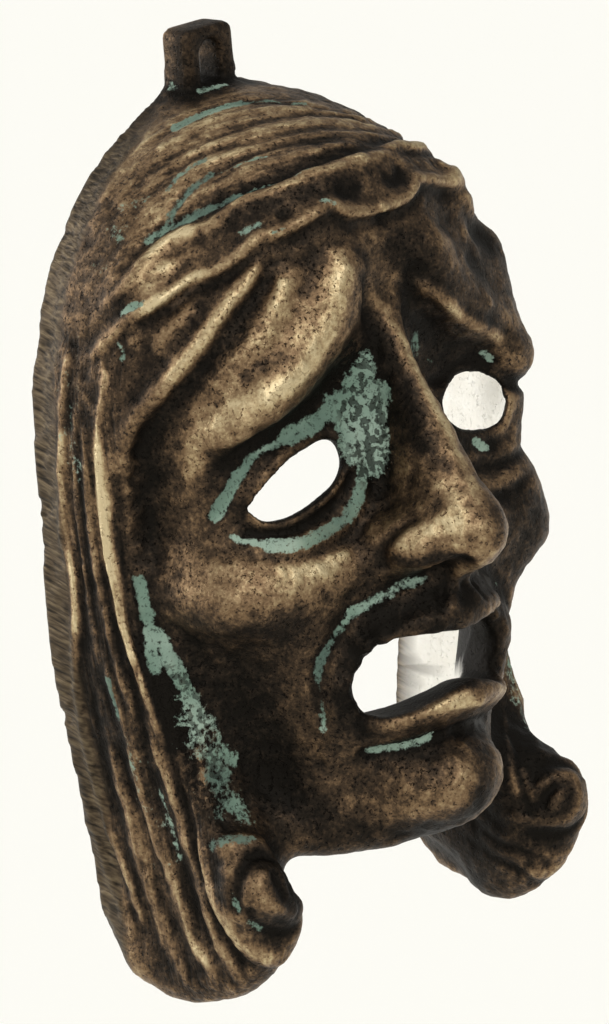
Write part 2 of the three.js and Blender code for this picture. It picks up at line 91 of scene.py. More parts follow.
# Fuller or leaner places, each only on its own side: path, width and height in mm
FULLNESS = [
    ([(-18, 28.6, 15), (-22, 28, 21)], 4.5, 1.0),
    ([(-13.4, 30.2, 13.4), (-15.4, 29.8, 14.6)], 2.6, 0.4),
    ([(-18, 30.6, 18), (-20, 30, 20.4)], 2.6, 0.9),
    ([(-25.4, 27.6, 30), (-26, 27, 36)], 4.2, 2.8),
    ([(-21, 33.4, 38.6), (-25, 32, 40.4)], 3.4, -0.8),
    ([(-25.4, 30.6, 44.8), (-25.8, 30.6, 47.6)], 2.6, 1.2),
    ([(-25, 30.4, 43.6), (-25.4, 29.4, 48), (-25.4, 30, 53), (-26, 31.4, 57)], 4.5, 3.3),
    ([(-27, 32, 60), (-26.6, 32, 62)], 4, -0.5),
    ([(-25, 31.6, 68), (-22.6, 32.6, 72), (-20, 33, 76)], 4, 1.8),
    ([(-30, 24, 96), (-29.6, 28, 99)], 3, -0.8),
    ([(-29, 30.4, 103.5), (-28.6, 29, 108), (-27.4, 26, 113)], 4.5, 2.2),
    ([(-27, 26, 114), (-25.6, 22.4, 118)], 3.6, 1.2),
    ([(-23.2, 12.4, 114.4), (-23.4, 6, 111)], 3.6, -2.2),
    ([(-24, 18.6, 118), (-24, 22, 117.6)], 3, 0.4),
    ([(-29.8, 29, 106.6), (-29, 28.4, 110)], 2.8, 0.8),
    ([(30, 3, 112), (29, 4.6, 115)], 3, 0.8),
    ([(28.6, 5, 117), (25.5, 11, 120)], 4, 1.6),
    ([(23, 29.2, 107), (22.8, 28.8, 109), (23.6, 28.4, 111.4)], 2.8, 1.2),
    ([(22, 28.4, 98.6), (21.6, 28.6, 102)], 3, -2.6),
    ([(19, 25.5, 99), (14, 28, 100.4), (7.6, 31, 101.1)], 3.5, 1.6),
    ([(10, 0.7, 5), (20.4, 0.8, 10.8), (25.8, 0.5, 16.4)], 4, -0.3),
    ([(12.2, 0.7, 5.8), (20.4, 0.8, 10.8), (25.8, 0.5, 16.4), (31.2, 0.9, 24.5), (35.2, 1, 42.4),
      (34.9, 0.6, 58)], 3.5, -0.75),
    ([(31.2, 0.9, 25), (35.2, 1, 42.4)], 3.5, -0.4),
]
# Strokes on the faces of the curls, on the left brow and on the rim, each only on its own side:
# path, width and height in mm, and the shares of its length over which it fades in and out
CURL_STROKES = [
    ([(30.8, 22, 93), (31.2, 24.6, 97.2), (30, 25.9, 96.3), (28.2, 27, 96), (26.3, 28.2, 96.6),
      (24.4, 29.6, 98.2), (22.8, 30.2, 101), (22, 29.6, 104.4), (22, 28.6, 107.6)], 0.9, 0.75, (0.2, 0.1)),
    ([(31.9, 27.6, 106), (32.1, 27.7, 103), (31.5, 28.3, 99.9), (29.8, 28.7, 98), (27.4, 29.2, 98),
      (25.4, 30.2, 99.6), (24.4, 30.8, 102), (24.6, 31, 104.6)], 0.7, -1.3, (0.1, 0.2)),
    ([(28.9, 29.8, 99.8), (30, 30.1, 101.8), (29.9, 30.5, 103.7), (28.4, 31, 105.2), (25.6, 30.8, 106.8),
      (24, 30, 107)], 1.0, 0.8, (0.1, 0.1)),
    ([(27.8, 30.8, 100.2), (27.6, 31.6, 102.4), (26.6, 31.4, 104.4)], 0.55, -0.7, (0.1, 0.2)),
    ([(32.1, 28.7, 104.8), (31.1, 29, 106.6), (27.8, 28.6, 108.9), (24.8, 28.6, 109.6),
      (22.8, 28.6, 108.6)], 0.6, -0.9, (0.1, 0.1)),
    ([(-25.4, 23.3, 92.9), (-22.5, 26.2, 95.9), (-21.2, 27.9, 99.5),
      (-21.5, 28.2, 102.3)], 0.55, 0.6, (0.2, 0.2)),
    ([(-22.8, 28.1, 98.9), (-22.7, 28.9, 101.2), (-23, 29.4, 103.2)], 0.5, 0.5, (0.2, 0.2)),
    ([(-4.3, 33.1, 27.3), (-6.7, 34.4, 29.7), (-9.4, 34.7, 32), (-12.5, 34.2, 34.6), (-17.1, 34.1, 37.4),
      (-21, 33.4, 39.4)], 1.0, 0.7, (0.2, 0.2)),
    ([(-3.8, 32.5, 30.6), (-7.4, 32.3, 34.8), (-12, 31.1, 38.6), (-16.1, 31.6, 40.6),
      (-21.5, 30.4, 43)], 2.0, -1.2, (0.2, 0.2)),
    ([(-28.4, 21.8, 90.2), (-28.8, 22.8, 93), (-28.6, 24.4, 95.1), (-27, 27.6, 96.8)], 0.7, 0.5, (0.2, 0.2)),
    ([(-24, 24, 93), (-23.6, 26.6, 96.4), (-23, 28, 99)], 0.55, -0.5, (0.2, 0.2)),
    ([(-24.6, 28, 97.2), (-28.6, 29, 98.2), (-31, 28.9, 100.4), (-31.8, 28.6, 103.6), (-31, 28, 107),
      (-28, 27.4, 110.2), (-23.4, 27.5, 110.9)], 0.8, 0.6, (0.1, 0.1)),
    ([(-24.6, 29.6, 98.8), (-28, 30, 99.8), (-30, 30, 102.4), (-29.4, 29.8, 106), (-26, 29.4, 108.2),
      (-22.4, 28.6, 107.6)], 0.6, -1.1, (0.1, 0.1)),
    ([(-22.6, 29.8, 103), (-23.6, 30.4, 101.2), (-26.2, 31.1, 100.6), (-28.2, 31, 102), (-28, 31, 104.8),
      (-25.6, 31, 106.4), (-22.6, 29.4, 106), (-20.6, 27, 105)], 0.65, 0.7, (0.1, 0.1)),
    ([(-24.3, 30.9, 104), (-25.4, 31.4, 103.7), (-26, 31.8, 102.3)], 0.6, 0.5, (0.1, 0.1)),
    ([(-23.6, 30.6, 104.6), (-24.2, 30.8, 102.6), (-26, 31, 101.9)], 0.45, -0.6, (0.1, 0.1)),
    ([(-20.3, 20, 106), (-20.5, 23.6, 108.4), (-22.5, 27, 110),
      (-26.3, 27.4, 111.4)], 0.5, -0.5, (0.1, 0.1)),
    ([(-20.4, 19, 109), (-21, 23.4, 111.2), (-23.2, 25.9, 112.8), (-27, 25, 114)], 0.5, -0.45, (0.1, 0.1)),
    ([(-20.6, 20, 100), (-20.6, 23, 104.6), (-20.6, 26, 107)], 0.5, -0.4, (0.2, 0.2)),
    ([(34.9, 0.6, 52.6), (34.6, 3, 53.2)], 0.7, -0.7, (0, 0.4)),
    ([(33.6, 0.5, 81.4), (33.6, 2, 81.8)], 0.7, -0.7, (0, 0.4)),
    ([(27.8, 0.4, 16.4), (27, 2, 16.8)], 0.7, -0.4, (0, 0.4)),
]
# Strands of the side hair and the furrows between them, with the same numbers
SIDE_STRANDS = [
    ([(34.2, 7, 31), (34.6, 6.9, 35), (35.2, 6.6, 40.4), (35.2, 5.7, 46), (34.9, 5.2, 51.5),
      (34.6, 4.6, 57), (35, 6, 62.2), (34.9, 5.6, 67.7), (34.5, 4.7, 73.3), (33.7, 4, 79),
      (32.3, 3.5, 86.1), (31, 4, 94.5), (30.7, 5.6, 100.5), (31, 7.3, 105),
      (30, 8, 110)], 0.6, 0.75, (0.06, 0.1)),
    ([(33.6, 14, 33), (34.3, 13.6, 37.2), (34.9, 13, 41.2), (35.2, 12.4, 46.6), (35.1, 12.2, 52.1),
      (35, 12.1, 58.2), (34.8, 13.2, 62.9), (34.7, 13.5, 67), (34.7, 15.1, 71.5), (33.9, 16.6, 77.7),
      (33.4, 17.2, 80.5), (32.6, 17.6, 86)], 0.6, 0.7, (0.05, 0.2)),
    ([(35.4, 10, 42), (35.3, 10.2, 51.6), (35.2, 9.7, 56.4), (35.1, 10.5, 61.8), (35, 11.2, 67.1),
      (34.8, 12.2, 72.5), (34.4, 13.4, 77.9), (33.4, 13.6, 83.5), (32.4, 14.4, 89)], 0.8, 0.4, (0.2, 0.2)),
    ([(34.8, 8.6, 66), (34.5, 9.8, 72), (34.3, 11.5, 78.1), (33.6, 12.1, 83), (32.5, 11.8, 88.6),
      (31.6, 12.5, 93.5), (31.4, 13.6, 98.2), (31.2, 14.8, 102.2), (30.5, 16, 106.3), (29.8, 16.5, 110.5),
      (29.6, 18.3, 113.7), (28.4, 20, 116.6)], 0.85, 0.7, (0.2, 0.1)),
    ([(32.9, 15.4, 83), (32.6, 16.2, 86.2), (32, 17.3, 90.3), (31.4, 18.4, 94.3), (31.2, 19.2, 98.4),
      (31, 20.1, 102.4), (30.5, 20.4, 106.5), (29.6, 21.3, 111.4),
      (28.4, 23.6, 114.9)], 0.75, 0.65, (0.15, 0.1)),
    ([(30.6, 20, 84), (30.5, 20.7, 88.2), (30.7, 21.4, 93.5), (30.9, 21.8, 98.2), (31.1, 22.7, 102.8),
      (31.3, 24.3, 106.6), (29.8, 25.4, 110), (27.2, 26.8, 112.4),
      (23.2, 26.8, 113.7)], 1.25, 0.95, (0.2, 0.1)),
    ([(32.4, 8, 84), (31.8, 8.4, 92), (31.2, 9.4, 100), (30.4, 10.8, 107), (29.6, 12.6, 113),
      (28.6, 15.6, 118)], 0.9, 0.45, (0.2, 0.1)),
    ([(34.6, 9.4, 38), (35.2, 8.4, 46), (35.2, 7.8, 54), (35.1, 8.2, 62), (34.9, 7.9, 70),
      (34, 7, 78)], 0.55, 0.3, (0.2, 0.2)),
    ([(31.4, 1.2, 88), (30.4, 1.6, 97), (29.4, 3.2, 105), (28, 6.2, 112)], 0.8, 0.35, (0.2, 0.2)),
]
SIDE_FURROWS = [
    ([(34.4, 15.2, 47), (34.7, 14.6, 51.9), (34.6, 14.6, 57.4), (34.3, 15.5, 62.8), (34.1, 16.2, 68.2),
      (34, 17.2, 73), (33.4, 18.2, 80.4), (32.3, 17.9, 85.4), (31.8, 18.4, 89.5), (31.2, 19.4, 96),
      (31.1, 20.7, 102.3)], 0.75, -1.0, (0.1, 0.15)),
    ([(33.6, 17.6, 66), (32.9, 18.1, 72.3), (32, 19.5, 76.5), (30.9, 19.9, 83.5), (30.3, 20.4, 89.5),
      (30.2, 21.4, 95.5)], 0.6, -0.7, (0.2, 0.2)),
    ([(35, 7.8, 44), (35.1, 7, 52), (35, 7.4, 60), (35, 7.6, 67), (34.4, 7.2, 75), (33, 6.4, 84),
      (31.6, 6.6, 93), (31.1, 8.2, 102), (30, 10, 110)], 0.6, -0.45, (0.2, 0.1)),
    ([(35.1, 11.2, 44), (35.1, 11.2, 55), (34.9, 12.2, 66), (34.7, 13.6, 72), (33.9, 14.8, 79),
      (32.8, 14.4, 87), (31.8, 15.6, 94), (31.1, 17, 101), (30.2, 18.4, 108),
      (29, 20.6, 114)], 0.6, -0.6, (0.2, 0.1)),
    ([(33.6, 10, 82), (32.1, 9.9, 90), (31.3, 11.4, 98), (30.6, 13, 106),
      (29.6, 15, 113)], 0.6, -0.5, (0.2, 0.1)),
    ([(30.7, 21.4, 104), (30, 22.8, 110), (28, 25, 113.8)], 0.55, -0.5, (0.2, 0.2)),
]
# Lock that comes out under the band, and the valley between it and the temple
FORELOCK = [
    (18.6, 29.8, 21.3), (21.1, 28.1, 23.8), (24.6, 26.9, 27), (27.4, 25.7, 30.1), (29.3, 23.3, 33.3),
    (31.6, 21.2, 36.4), (32.8, 18.5, 39.4), (34, 17, 43), (34, 16, 48),
]
TEMPLE_VALLEY = [
    (17, 30.6, 19.8), (19.5, 29.6, 24.1), (23, 28.6, 27.4), (26.2, 27.6, 30.6), (28.6, 25.3, 34.4),
    (30.4, 22.9, 38), (32.1, 20, 42), (33, 17.8, 46),
]
# Strokes on the face, with a name before the same numbers
FACE_STROKES = [
    ("band lower edge", BAND_LOW, 0.7, 1.0, (0.04, 0)),
    ("band upper edge", BAND_TOP, 0.85, 0.8, (0.05, 0)),
    ("shadow under the band", shifted(BAND_LOW[2:], 0, 1.8), 0.9, -0.9, (0.1, 0)),
    ("behind the band", shifted(BAND_TOP[1:], -1.6, -1.3), 0.8, -0.6, (0.1, 0)),
    ("fold of the band", [(28, 17.4, 22), (25, 19.6, 20.4), (22, 22.4, 18.6)], 0.7, 0.4, (0.3, 0.3)),
    ("dent of the band", [(15.6, 29.6, 15), (13.4, 30.6, 14.6)], 0.7, -0.6, (0.2, 0.3)),
    ("second dent", [(6.4, 31.6, 13.4), (4.2, 32.4, 15)], 0.8, -0.7, (0.2, 0.3)),
    ("third dent", [(-2, 32, 13.4), (-4.6, 32.8, 15.4)], 0.7, -0.5, (0.2, 0.3)),
    ("forelock", FORELOCK, 1.2, 1.4, (0.12, 0.4)),
    ("short strand", [(17, 31, 23.4), (18.9, 31.4, 27), (21.6, 30.4, 32)], 0.8, 0.6, (0.2, 0.4)),
    ("temple valley", TEMPLE_VALLEY, 1.7, -1.5, (0.1, 0.15)),
    ("short lock", [(25.8, 23.6, 26), (27.4, 22.3, 27.4), (28.9, 20.9, 29.4),
      (30, 19.6, 32)], 0.9, 0.8, (0.3, 0.3)),
    ("forehead wrinkle", [(15.8, 30.5, 21.6), (17.6, 31, 25.7), (20.6, 30.1, 29.2), (23.7, 28.7, 32.7),
      (26.8, 26.6, 36.3)], 1.8, 0.8, (0.1, 0.3)),
    ("forehead hollow", [(12, 33, 22), (15.4, 32.6, 27.4), (19.6, 31.6, 32),
      (24, 30, 36)], 1.3, -0.25, (0.2, 0.3)),
    ("brow", [(8.6, 33, 20.6), (9.7, 34.8, 23.1), (11, 35.2, 27.1), (13.6, 34.7, 31.1), (19, 34, 35.4),
      (24.4, 32, 37.8), (27.4, 28.4, 39.8)], 2, 0.9, (0.15, 0.3)),
    ("under the brow", [(7.8, 30.4, 38.7), (12, 30, 41.3), (17.7, 30.2, 42.6), (22.6, 29.3, 44),
      (25.3, 27.6, 46.1), (26.3, 26.3, 48.7)], 1.5, -0.9, (0.2, 0.3)),
    ("frown", [(5.2, 34, 25), (3.9, 33.6, 30), (3.2, 33.2, 34), (3.2, 33, 38)], 1.1, -1.1, (0.2, 0.5)),
    ("upper lid groove", [(26.7, 24.8, 53.8), (25.6, 26, 51.1), (24.3, 27.4, 48.3), (22.6, 28.2, 46.3),
      (20, 29.1, 45.1), (16.7, 29.6, 44.1), (12.5, 29.8, 43.2), (9, 30.6, 43.2)], 0.8, -1.0, (0.1, 0.2)),
    ("lower lid groove", [(24.6, 28, 56), (20.6, 30.6, 56.6), (15.9, 31.6, 55.8), (11.2, 32, 53.8),
      (8.2, 32.4, 50.8)], 0.7, -0.8, (0.2, 0.2)),
    ("eye bag", [(23, 30.5, 58.4), (19, 32.2, 58.6), (13.2, 32.4, 57.6), (8.6, 32.8, 54.8),
      (6.6, 33, 51)], 1.2, 0.7, (0.2, 0.3)),
    ("under the eye bag", [(26, 29, 58.8), (20.2, 32.6, 59.9), (13.5, 34, 59.2),
      (9, 34.6, 57)], 0.8, -0.5, (0.3, 0.2)),
    ("nostril crease", [(9.8, 38, 64), (10.8, 38, 60.6), (9.6, 39.6, 57),
      (6.8, 42, 55.2)], 0.9, -0.9, (0.2, 0.3)),
    ("nostril", [(3.7, 42, 64.6), (3.9, 46, 64)], 1.3, -2.4, (0, 0)),
    ("philtrum edge", [(2.4, 43.4, 65.4), (2.8, 44.2, 69.6)], 0.8, 0.6, (0, 0.2)),
    ("fold from nose to mouth", [(3.7, 39.6, 65.2), (7.2, 38.1, 66), (9.9, 36.3, 67.4), (13.1, 34.3, 68.7),
      (15.1, 33.2, 71.5), (16.8, 31.9, 74.6), (17.5, 31.5, 78.6),
      (17.1, 31.3, 83.4)], 0.9, -1.0, (0.1, 0.15)),
    ("hollow over the upper lip", [(15.4, 34, 77), (14.6, 35, 73), (12, 36.8, 70.4), (8.4, 39.4, 69),
      (4.6, 42, 68.4)], 1.5, -0.55, (0.2, 0.2)),
    ("edge of the fold", [(16.5, 31.3, 82), (16.6, 31.4, 77.2), (16.3, 32, 73.8), (15.2, 33.2, 71),
      (13.1, 34.7, 68.6), (10.3, 36.4, 67.2), (7, 38.6, 66.4), (4.2, 40.8, 65.8)], 0.5, 0.45, (0.1, 0.1)),
    ("step of the upper lip", [(2.9, 41, 67), (3.5, 41.6, 68.4), (4.4, 42.7, 70.1)], 0.5, -0.5, (0.1, 0.1)),
    ("lower lip", [(13.4, 35.6, 84.8), (10.7, 38.4, 83.4), (5.8, 42, 82.2),
      (0, 43.6, 82.4)], 1.3, 0.7, (0.2, 0)),
    ("under the lower lip", [(12.6, 32.8, 88.4), (7.7, 36.1, 87.8), (4.6, 38.4, 87.2),
      (0, 39.3, 86.9)], 0.9, -0.9, (0.2, 0)),
    ("crease of the cheek", [(33.9, 16.4, 66), (33.4, 17.6, 72), (32.4, 19.4, 78), (31.4, 20.4, 84),
      (30.8, 21.4, 92)], 1.0, -1.0, (0.2, 0.3)),
]
# Share of its height that a stroke keeps on the mask's left half, where the casting is plainer
LOW_ON_THE_LEFT = {"forelock": 0.35, "short strand": 0.5, "temple valley": 0.3, "short lock": 0.3,
                   "forehead wrinkle": 0.5, "forehead hollow": 0.3, "brow": 0.5, "under the brow": 0.4}
# Patina rubbed away (above 0) or left dark (below 0), each only on its own side: path, width in mm and
# strength. Many of these are painted light: painted highlights on the lit brow, cheek and nose ridge, and
# painted shade on the side of the nose, under the cheek and over the far half
RUBBED_AND_PAINTED_LIGHT = [
    (FORELOCK[:6], 1.8, 0.1),
    (FORELOCK[5:], 2.4, -0.25),
    ([(25.6, 28.7, 36.8), (23.6, 30.3, 34.5), (20.7, 31.4, 32.1), (17.5, 32.3, 29.4),
      (15.9, 32.7, 27.9)], 2.8, 0.2),
    ([(21, 33.4, 37), (17.6, 34, 35.6), (15, 34, 33.6)], 2.2, 0.14),
    ([(27.4, 28.2, 39.6), (26, 29.4, 40.6)], 2.6, -0.22),
    ([(9.3, 34, 22), (11, 35.2, 27.1)], 2.6, -0.12),
    ([(28.7, 24, 44.6), (28.6, 23.4, 47.4)], 3, 0.2),
    ([(5, 38, 46), (5, 38.6, 50)], 4, 0.12),
    ([(35.5, 12.7, 50), (34.8, 11.1, 54.3), (34.7, 11.3, 57.9)], 2.4, 0.3),
    ([(34, 15.1, 45), (34, 15.1, 49)], 2, 0.2),
    ([(29.1, 18.1, 51.5), (29.3, 17.7, 56.9), (30.2, 18.7, 59.9)], 3, 0.22),
    ([(26.3, 21.4, 25.1), (25, 22.1, 23.3), (24.2, 22.9, 21.7)], 2.4, 0.28),
    ([(21, 22.8, 17.8), (19.8, 23.7, 17)], 1.8, 0.25),
    ([(29.7, 19.2, 24.6), (28.2, 18.1, 22.3), (26.3, 19.1, 21.3)], 2.6, 0.28),
    ([(-0.6, 32.4, 14.3), (1, 32.2, 13.8)], 2.4, 0.3),
    ([(3.4, 33.6, 25.6), (3, 32.8, 29.1)], 2.6, 0.25),
    ([(10.1, 31.9, 49.1), (11.4, 32.3, 52.8)], 2, 0.45),
    ([(5.5, 42, 55.8), (6.3, 43.6, 57.5)], 2.6, 0.32),
    ([(3, 42.9, 51.6), (2.5, 42.9, 50.4)], 2.2, -0.25),
    ([(-1.4, 48.8, 57.4), (-0.3, 49.6, 59.8)], 2.6, -0.3),
    ([(22.9, 31.2, 58.7), (19.8, 32.8, 59.3), (16.8, 33.2, 58.8)], 2, -0.2),
    ([(24.5, 7.1, 14.7), (25.4, 10.6, 16.2), (26.1, 12.5, 17.7)], 3.4, -0.22),
    ([(31.6, 12.9, 24.7), (31.7, 16.3, 27.1)], 3, -0.22),
    ([(27, 29, 100), (25, 29.6, 105)], 5, -0.32),
    ([(9.2, 41.6, 59.7), (7.7, 42.6, 58.5), (6.1, 44.2, 57.9), (4.5, 46.3, 57.5)], 1.6, 0.2),
    ([(4.8, 37.2, 99.7), (1.7, 39.8, 98.8), (0, 42.2, 96.2)], 3.6, -0.25),
    ([(9.3, 34, 22), (11, 35.2, 27.1), (13.6, 34.7, 31.1), (18.6, 34, 35.6), (24.4, 32, 38.2),
      (27.4, 28.2, 39.6)], 2.8, 0.32),
    ([(9, 30.6, 38), (13, 30.6, 41.6), (18.4, 30.6, 43), (23.2, 29.4, 44.4), (26, 27.4, 46.6)], 2.4, -0.3),
    ([(28, 27, 41), (29, 24, 44.6)], 4, 0.16),
    ([(35, 12.4, 44), (35.2, 11.8, 52), (35, 12, 60)], 2.2, 0.35),
    ([(3.8, 41.8, 52.2), (4.9, 40.7, 54.8), (6.5, 40.2, 57.1)], 3, 0.3),
    ([(9.6, 40.4, 62), (8.7, 41.6, 62.5), (7.5, 43.2, 62.4), (6.1, 44.6, 62), (3, 46.5, 62.4),
      (0, 47, 62)], 1.8, -0.5),
    ([(5, 42.2, 72.4), (1.8, 43, 72.1), (-3, 41, 73)], 3, -0.3),
    ([(-14, 34.4, 80.7), (-15.5, 33.5, 76), (-14, 34.5, 72.5)], 4, -0.3),
    ([(7.4, 37, 87.4), (3, 40.6, 89.6), (6, 40.3, 91.6)], 3, -0.18),
    ([(17.8, 28.8, 17.5), (13.2, 31.4, 16.7), (8.5, 32.6, 15.1)], 1.6, -0.15),
    ([(16.8, 11.2, 9.3), (14.7, 11.2, 7.8), (12.8, 11.3, 6.8)], 3, -0.25),
    ([(13, 4, 6.6), (16.4, 5.4, 8.6), (19.4, 5.6, 10.6)], 3.4, 0.3),
    ([(26, 18.8, 20.7), (22.3, 20.2, 18.1), (20.4, 21.9, 15.8)], 2.2, 0.3),
    ([(32.2, 18.3, 75), (31.3, 18.9, 77.8), (29.9, 19.7, 82.8)], 2, -0.3),
    ([(29.6, 22.6, 91), (29.4, 24.1, 95.2)], 3.4, -0.2),
    ([(-18.5, 32.1, 28.4), (-21.5, 29.8, 27.2)], 5, -0.3),
    ([(-13.5, 34.6, 35.2), (-17.2, 34.6, 36.7)], 2.6, -0.25),
    ([(-25.5, 31, 45), (-26, 30, 52)], 4, -0.3),
    ([(17.6, 31.2, 24.8), (18.9, 31.6, 27.8), (20.6, 31, 31.5)], 3.4, 0.2),
    ([(13.8, 32.1, 23.5), (16.1, 32.6, 27.6), (18.6, 32.4, 31)], 3, 0.2),
    ([(26.1, 27.9, 36.8), (28.8, 25.4, 41.5)], 3.4, 0.16),
    ([(31, 22.2, 93.7), (31.5, 23.8, 98.8), (32.3, 25.4, 103.8)], 2.6, -0.3),
    ([(33.8, 15.7, 70), (32.8, 17.7, 77.6), (31.4, 18.8, 83.9)], 1.8, -0.45),
    ([(16.8, 31.4, 84.6), (15.6, 31.9, 86.2)], 3, -0.24),
    ([(1.6, 37.4, 40.4), (2, 39.2, 44.2), (2.5, 40.7, 47.2)], 2.6, -0.3),
    ([(3.1, 43.7, 52.9), (3.6, 45.7, 55.2), (4.4, 46, 57)], 3, 0.36),
    ([(24.2, 30.1, 59), (20.5, 33.2, 60.8), (16.4, 34.6, 61.6)], 2.4, 0.2),
    ([(4.5, 40.6, 68.3), (2.1, 42, 67.4), (-2, 42.6, 70)], 3, -0.24),
    ([(-18.5, 35.1, 36.9), (-22.4, 34.8, 39.8), (-25, 32, 42)], 3.4, -0.24),
    ([(-27.6, 32.7, 104), (-27.7, 29.1, 111.3), (-25, 22, 117), (-22, 16, 117)], 5, -0.25),
    ([(26, 28.6, 38), (29.6, 24, 40.6)], 4, 0.12),
    ([(22.5, 33.2, 62.2), (18.2, 34.4, 62.3), (13.7, 34.8, 61.4)], 3.4, 0.3),
    ([(31.2, 24.7, 66.7), (28.1, 29.7, 67.7), (22.5, 32.5, 67.7)], 3.5, -0.14),
    ([(31, 15.1, 24.7), (26, 18, 20.4), (21.5, 21.3, 17.5), (16.8, 26.1, 15), (10.9, 29.6, 13.3),
      (3.7, 31.8, 13.3), (-5.5, 31.9, 14.4)], 2.2, -0.26),
    ([(16, 33.9, 79.8), (14.7, 34.1, 83.5), (12, 35.8, 85.5)], 3.4, -0.25),
    ([(28, 20.8, 73), (23.5, 23, 79.2), (20, 24.1, 88), (18, 26.9, 93.6)], 7, -0.14),
    ([(33.2, 16.6, 70), (32.9, 17.4, 77), (32.2, 18.2, 84)], 2, -0.25),
    ([(-22, 28, 20), (-25.2, 27.4, 27.6), (-25.6, 27, 33)], 6, -0.3),
    ([(-5.6, 34.4, 22.8), (-6.5, 34.9, 27), (-8, 34.9, 30)], 4, -0.12),
    ([(2.9, 33, 20.3), (1.7, 33.2, 22.7), (-0.8, 33, 27.2)], 3.4, 0.36),
    ([(-4.3, 33.1, 27.3), (-9.4, 34.7, 32), (-12.5, 34.2, 34.6), (-17.1, 34.1, 37.4),
      (-21, 33.4, 39.4)], 1.2, 0.3),
    ([(2.3, 33.3, 35.2), (2.3, 34.9, 39.8), (3.1, 37.3, 44.8), (3.7, 38.9, 48.5)], 3.2, -0.22),
    ([(0.9, 33.2, 30.2), (0.5, 33.9, 32.1), (-0.6, 36.1, 37.1), (-0.2, 39.4, 42.6), (-0.6, 42.1, 47.4),
      (-0.3, 45.1, 52.1), (0.9, 47.3, 55)], 1.3, 0.3),
    ([(12.7, 35.9, 74.3), (10.9, 38.1, 72.2), (8.4, 40.3, 71.2), (4.9, 42.3, 71.8),
      (-3, 39.1, 74.3)], 2.4, -0.34),
    ([(8, 40.4, 83.4), (5, 42.4, 82.8)], 2, -0.12),
    ([(0, 43.8, 81.2), (-3.5, 43.3, 81.8)], 2.6, -0.3),
    ([(11, 37, 82.7), (7.6, 38.4, 81.7), (4.4, 40.9, 80.4), (0.5, 42.7, 80.2)], 1.5, -0.3),
    ([(-2.2, 42.1, 91.3), (-1.7, 42.6, 94.6), (-0.2, 41.9, 97)], 3.4, -0.22),
    ([(22.6, 29.3, 105.8), (24, 28, 112), (27, 20, 117), (29, 12, 116)], 6, -0.24),
    ([(-25, 26, 95.8), (-24.1, 30, 100.7), (-21.4, 28.3, 105.7), (-20.8, 24.7, 110.1),
      (-22, 18, 114)], 9, -0.2),
    ([(-25.4, 23.3, 92.9), (-22.5, 26.2, 95.9), (-21.2, 27.9, 99.5), (-21.5, 28.2, 102.3)], 0.8, 0.4),
    ([(-22.8, 28.1, 98.9), (-22.7, 28.9, 101.2), (-23, 29.4, 103.2)], 0.8, 0.4),
    ([(-26, 30.2, 100), (-26.5, 31.3, 101.8), (-26.1, 31.4, 103.7), (-25, 30.7, 105.4)], 0.8, 0.4),
    ([(22, 10, 14), (14, 9, 8), (6, 8, 4), (-4, 9, 3)], 8, 0.2),
    ([(31, 20, 60.4), (29.6, 27, 61.6), (26, 31.6, 61.8), (20, 33.4, 61)], 4.5, 0.14),
    ([(31.4, 25, 68), (27, 30.4, 69.4), (21, 31.6, 69)], 4, -0.12),
    ([(9.7, 41.3, 60.1), (8.6, 42.6, 58.5), (6.2, 44, 57.6), (4, 46.6, 57.4)], 2.4, 0.06),
    ([(6.4, 41.6, 82.2), (3.6, 43, 81.9), (1.4, 43.6, 82)], 1.6, 0.16),
    ([(13.4, 35, 84.6), (11, 37.6, 83.6)], 2.4, -0.2),
    ([(1.4, 40, 89.4), (3.6, 42.3, 94.2), (5, 41.6, 97)], 3.4, 0.14),
    ([(13.8, 31.4, 94.6), (10.1, 34, 96.6), (7.4, 38.4, 96.4)], 2.4, 0.2),
    ([(29.9, 16.9, 23.4), (27.6, 17.6, 21.2), (24.8, 17.9, 19.1), (22.5, 19.5, 17.4)], 2, 0.28),
    ([(30, 19.4, 25.8), (27.8, 21.1, 24.1), (24.6, 22.7, 22.7)], 1.4, 0.2),
    ([(13, 14, 6.4), (6, 18, 5.8), (-1, 21, 6.6), (-9, 22, 9)], 9, 0.34),
    ([(26, 13, 18), (21, 15, 13), (14, 14, 9)], 7, 0.1),
    ([(35.3, 7, 43), (35.3, 6.6, 47.2), (35.3, 6.1, 54), (35.5, 6.2, 60.7), (35.3, 6.1, 68.8)], 1.7, 0.5),
    ([(35.4, 12.5, 42), (35, 12.8, 57.4), (34.7, 13, 66), (34.7, 15.1, 71.5)], 1.8, 0.38),
    ([(32.3, 3.8, 88), (31.6, 4.6, 98), (30.4, 5, 107)], 1.0, 0.3),
    ([(31.4, 10.3, 94), (30.6, 12, 102), (30.3, 15.4, 109.5), (29.6, 18.6, 113.4)], 1.5, 0.3),
    ([(31.2, 22.6, 101), (31.5, 24.5, 106.6), (29.8, 25.4, 110), (26.4, 27, 112.6)], 2.2, 0.22),
    ([(35, 9, 44), (34.6, 9.6, 66), (33, 9, 84)], 8.5, -0.12),
    ([(9.9, 36.6, 70.4), (13, 35.6, 73.5), (15.2, 34.4, 78), (14.6, 34, 82.4)], 3.4, -0.36),
    ([(-12, 35.6, 70.4), (-6, 40, 69.6), (0, 43, 68.6), (6, 40, 69.4), (9.9, 37.6, 70)], 3.6, -0.36),
    ([(27, 28.5, 101), (27, 29, 105)], 8.5, -0.26),
    ([(-27, 27, 97), (-26, 26, 104), (-25, 20, 108), (-24, 12, 108)], 11, -0.36),
    ([(-24, 30, 86), (-23, 28, 96)], 8, -0.3),
    ([(3.4, 34.6, 36), (3.8, 37.6, 44), (4.4, 40.4, 51), (6, 42, 55)], 4, -0.26),
    ([(24, 24, 80), (20, 25, 89), (14, 28, 97)], 7, -0.16),
    ([(14, 28, 100), (8, 32, 100.6), (3, 34.4, 101), (-6, 34, 101)], 6, -0.32),
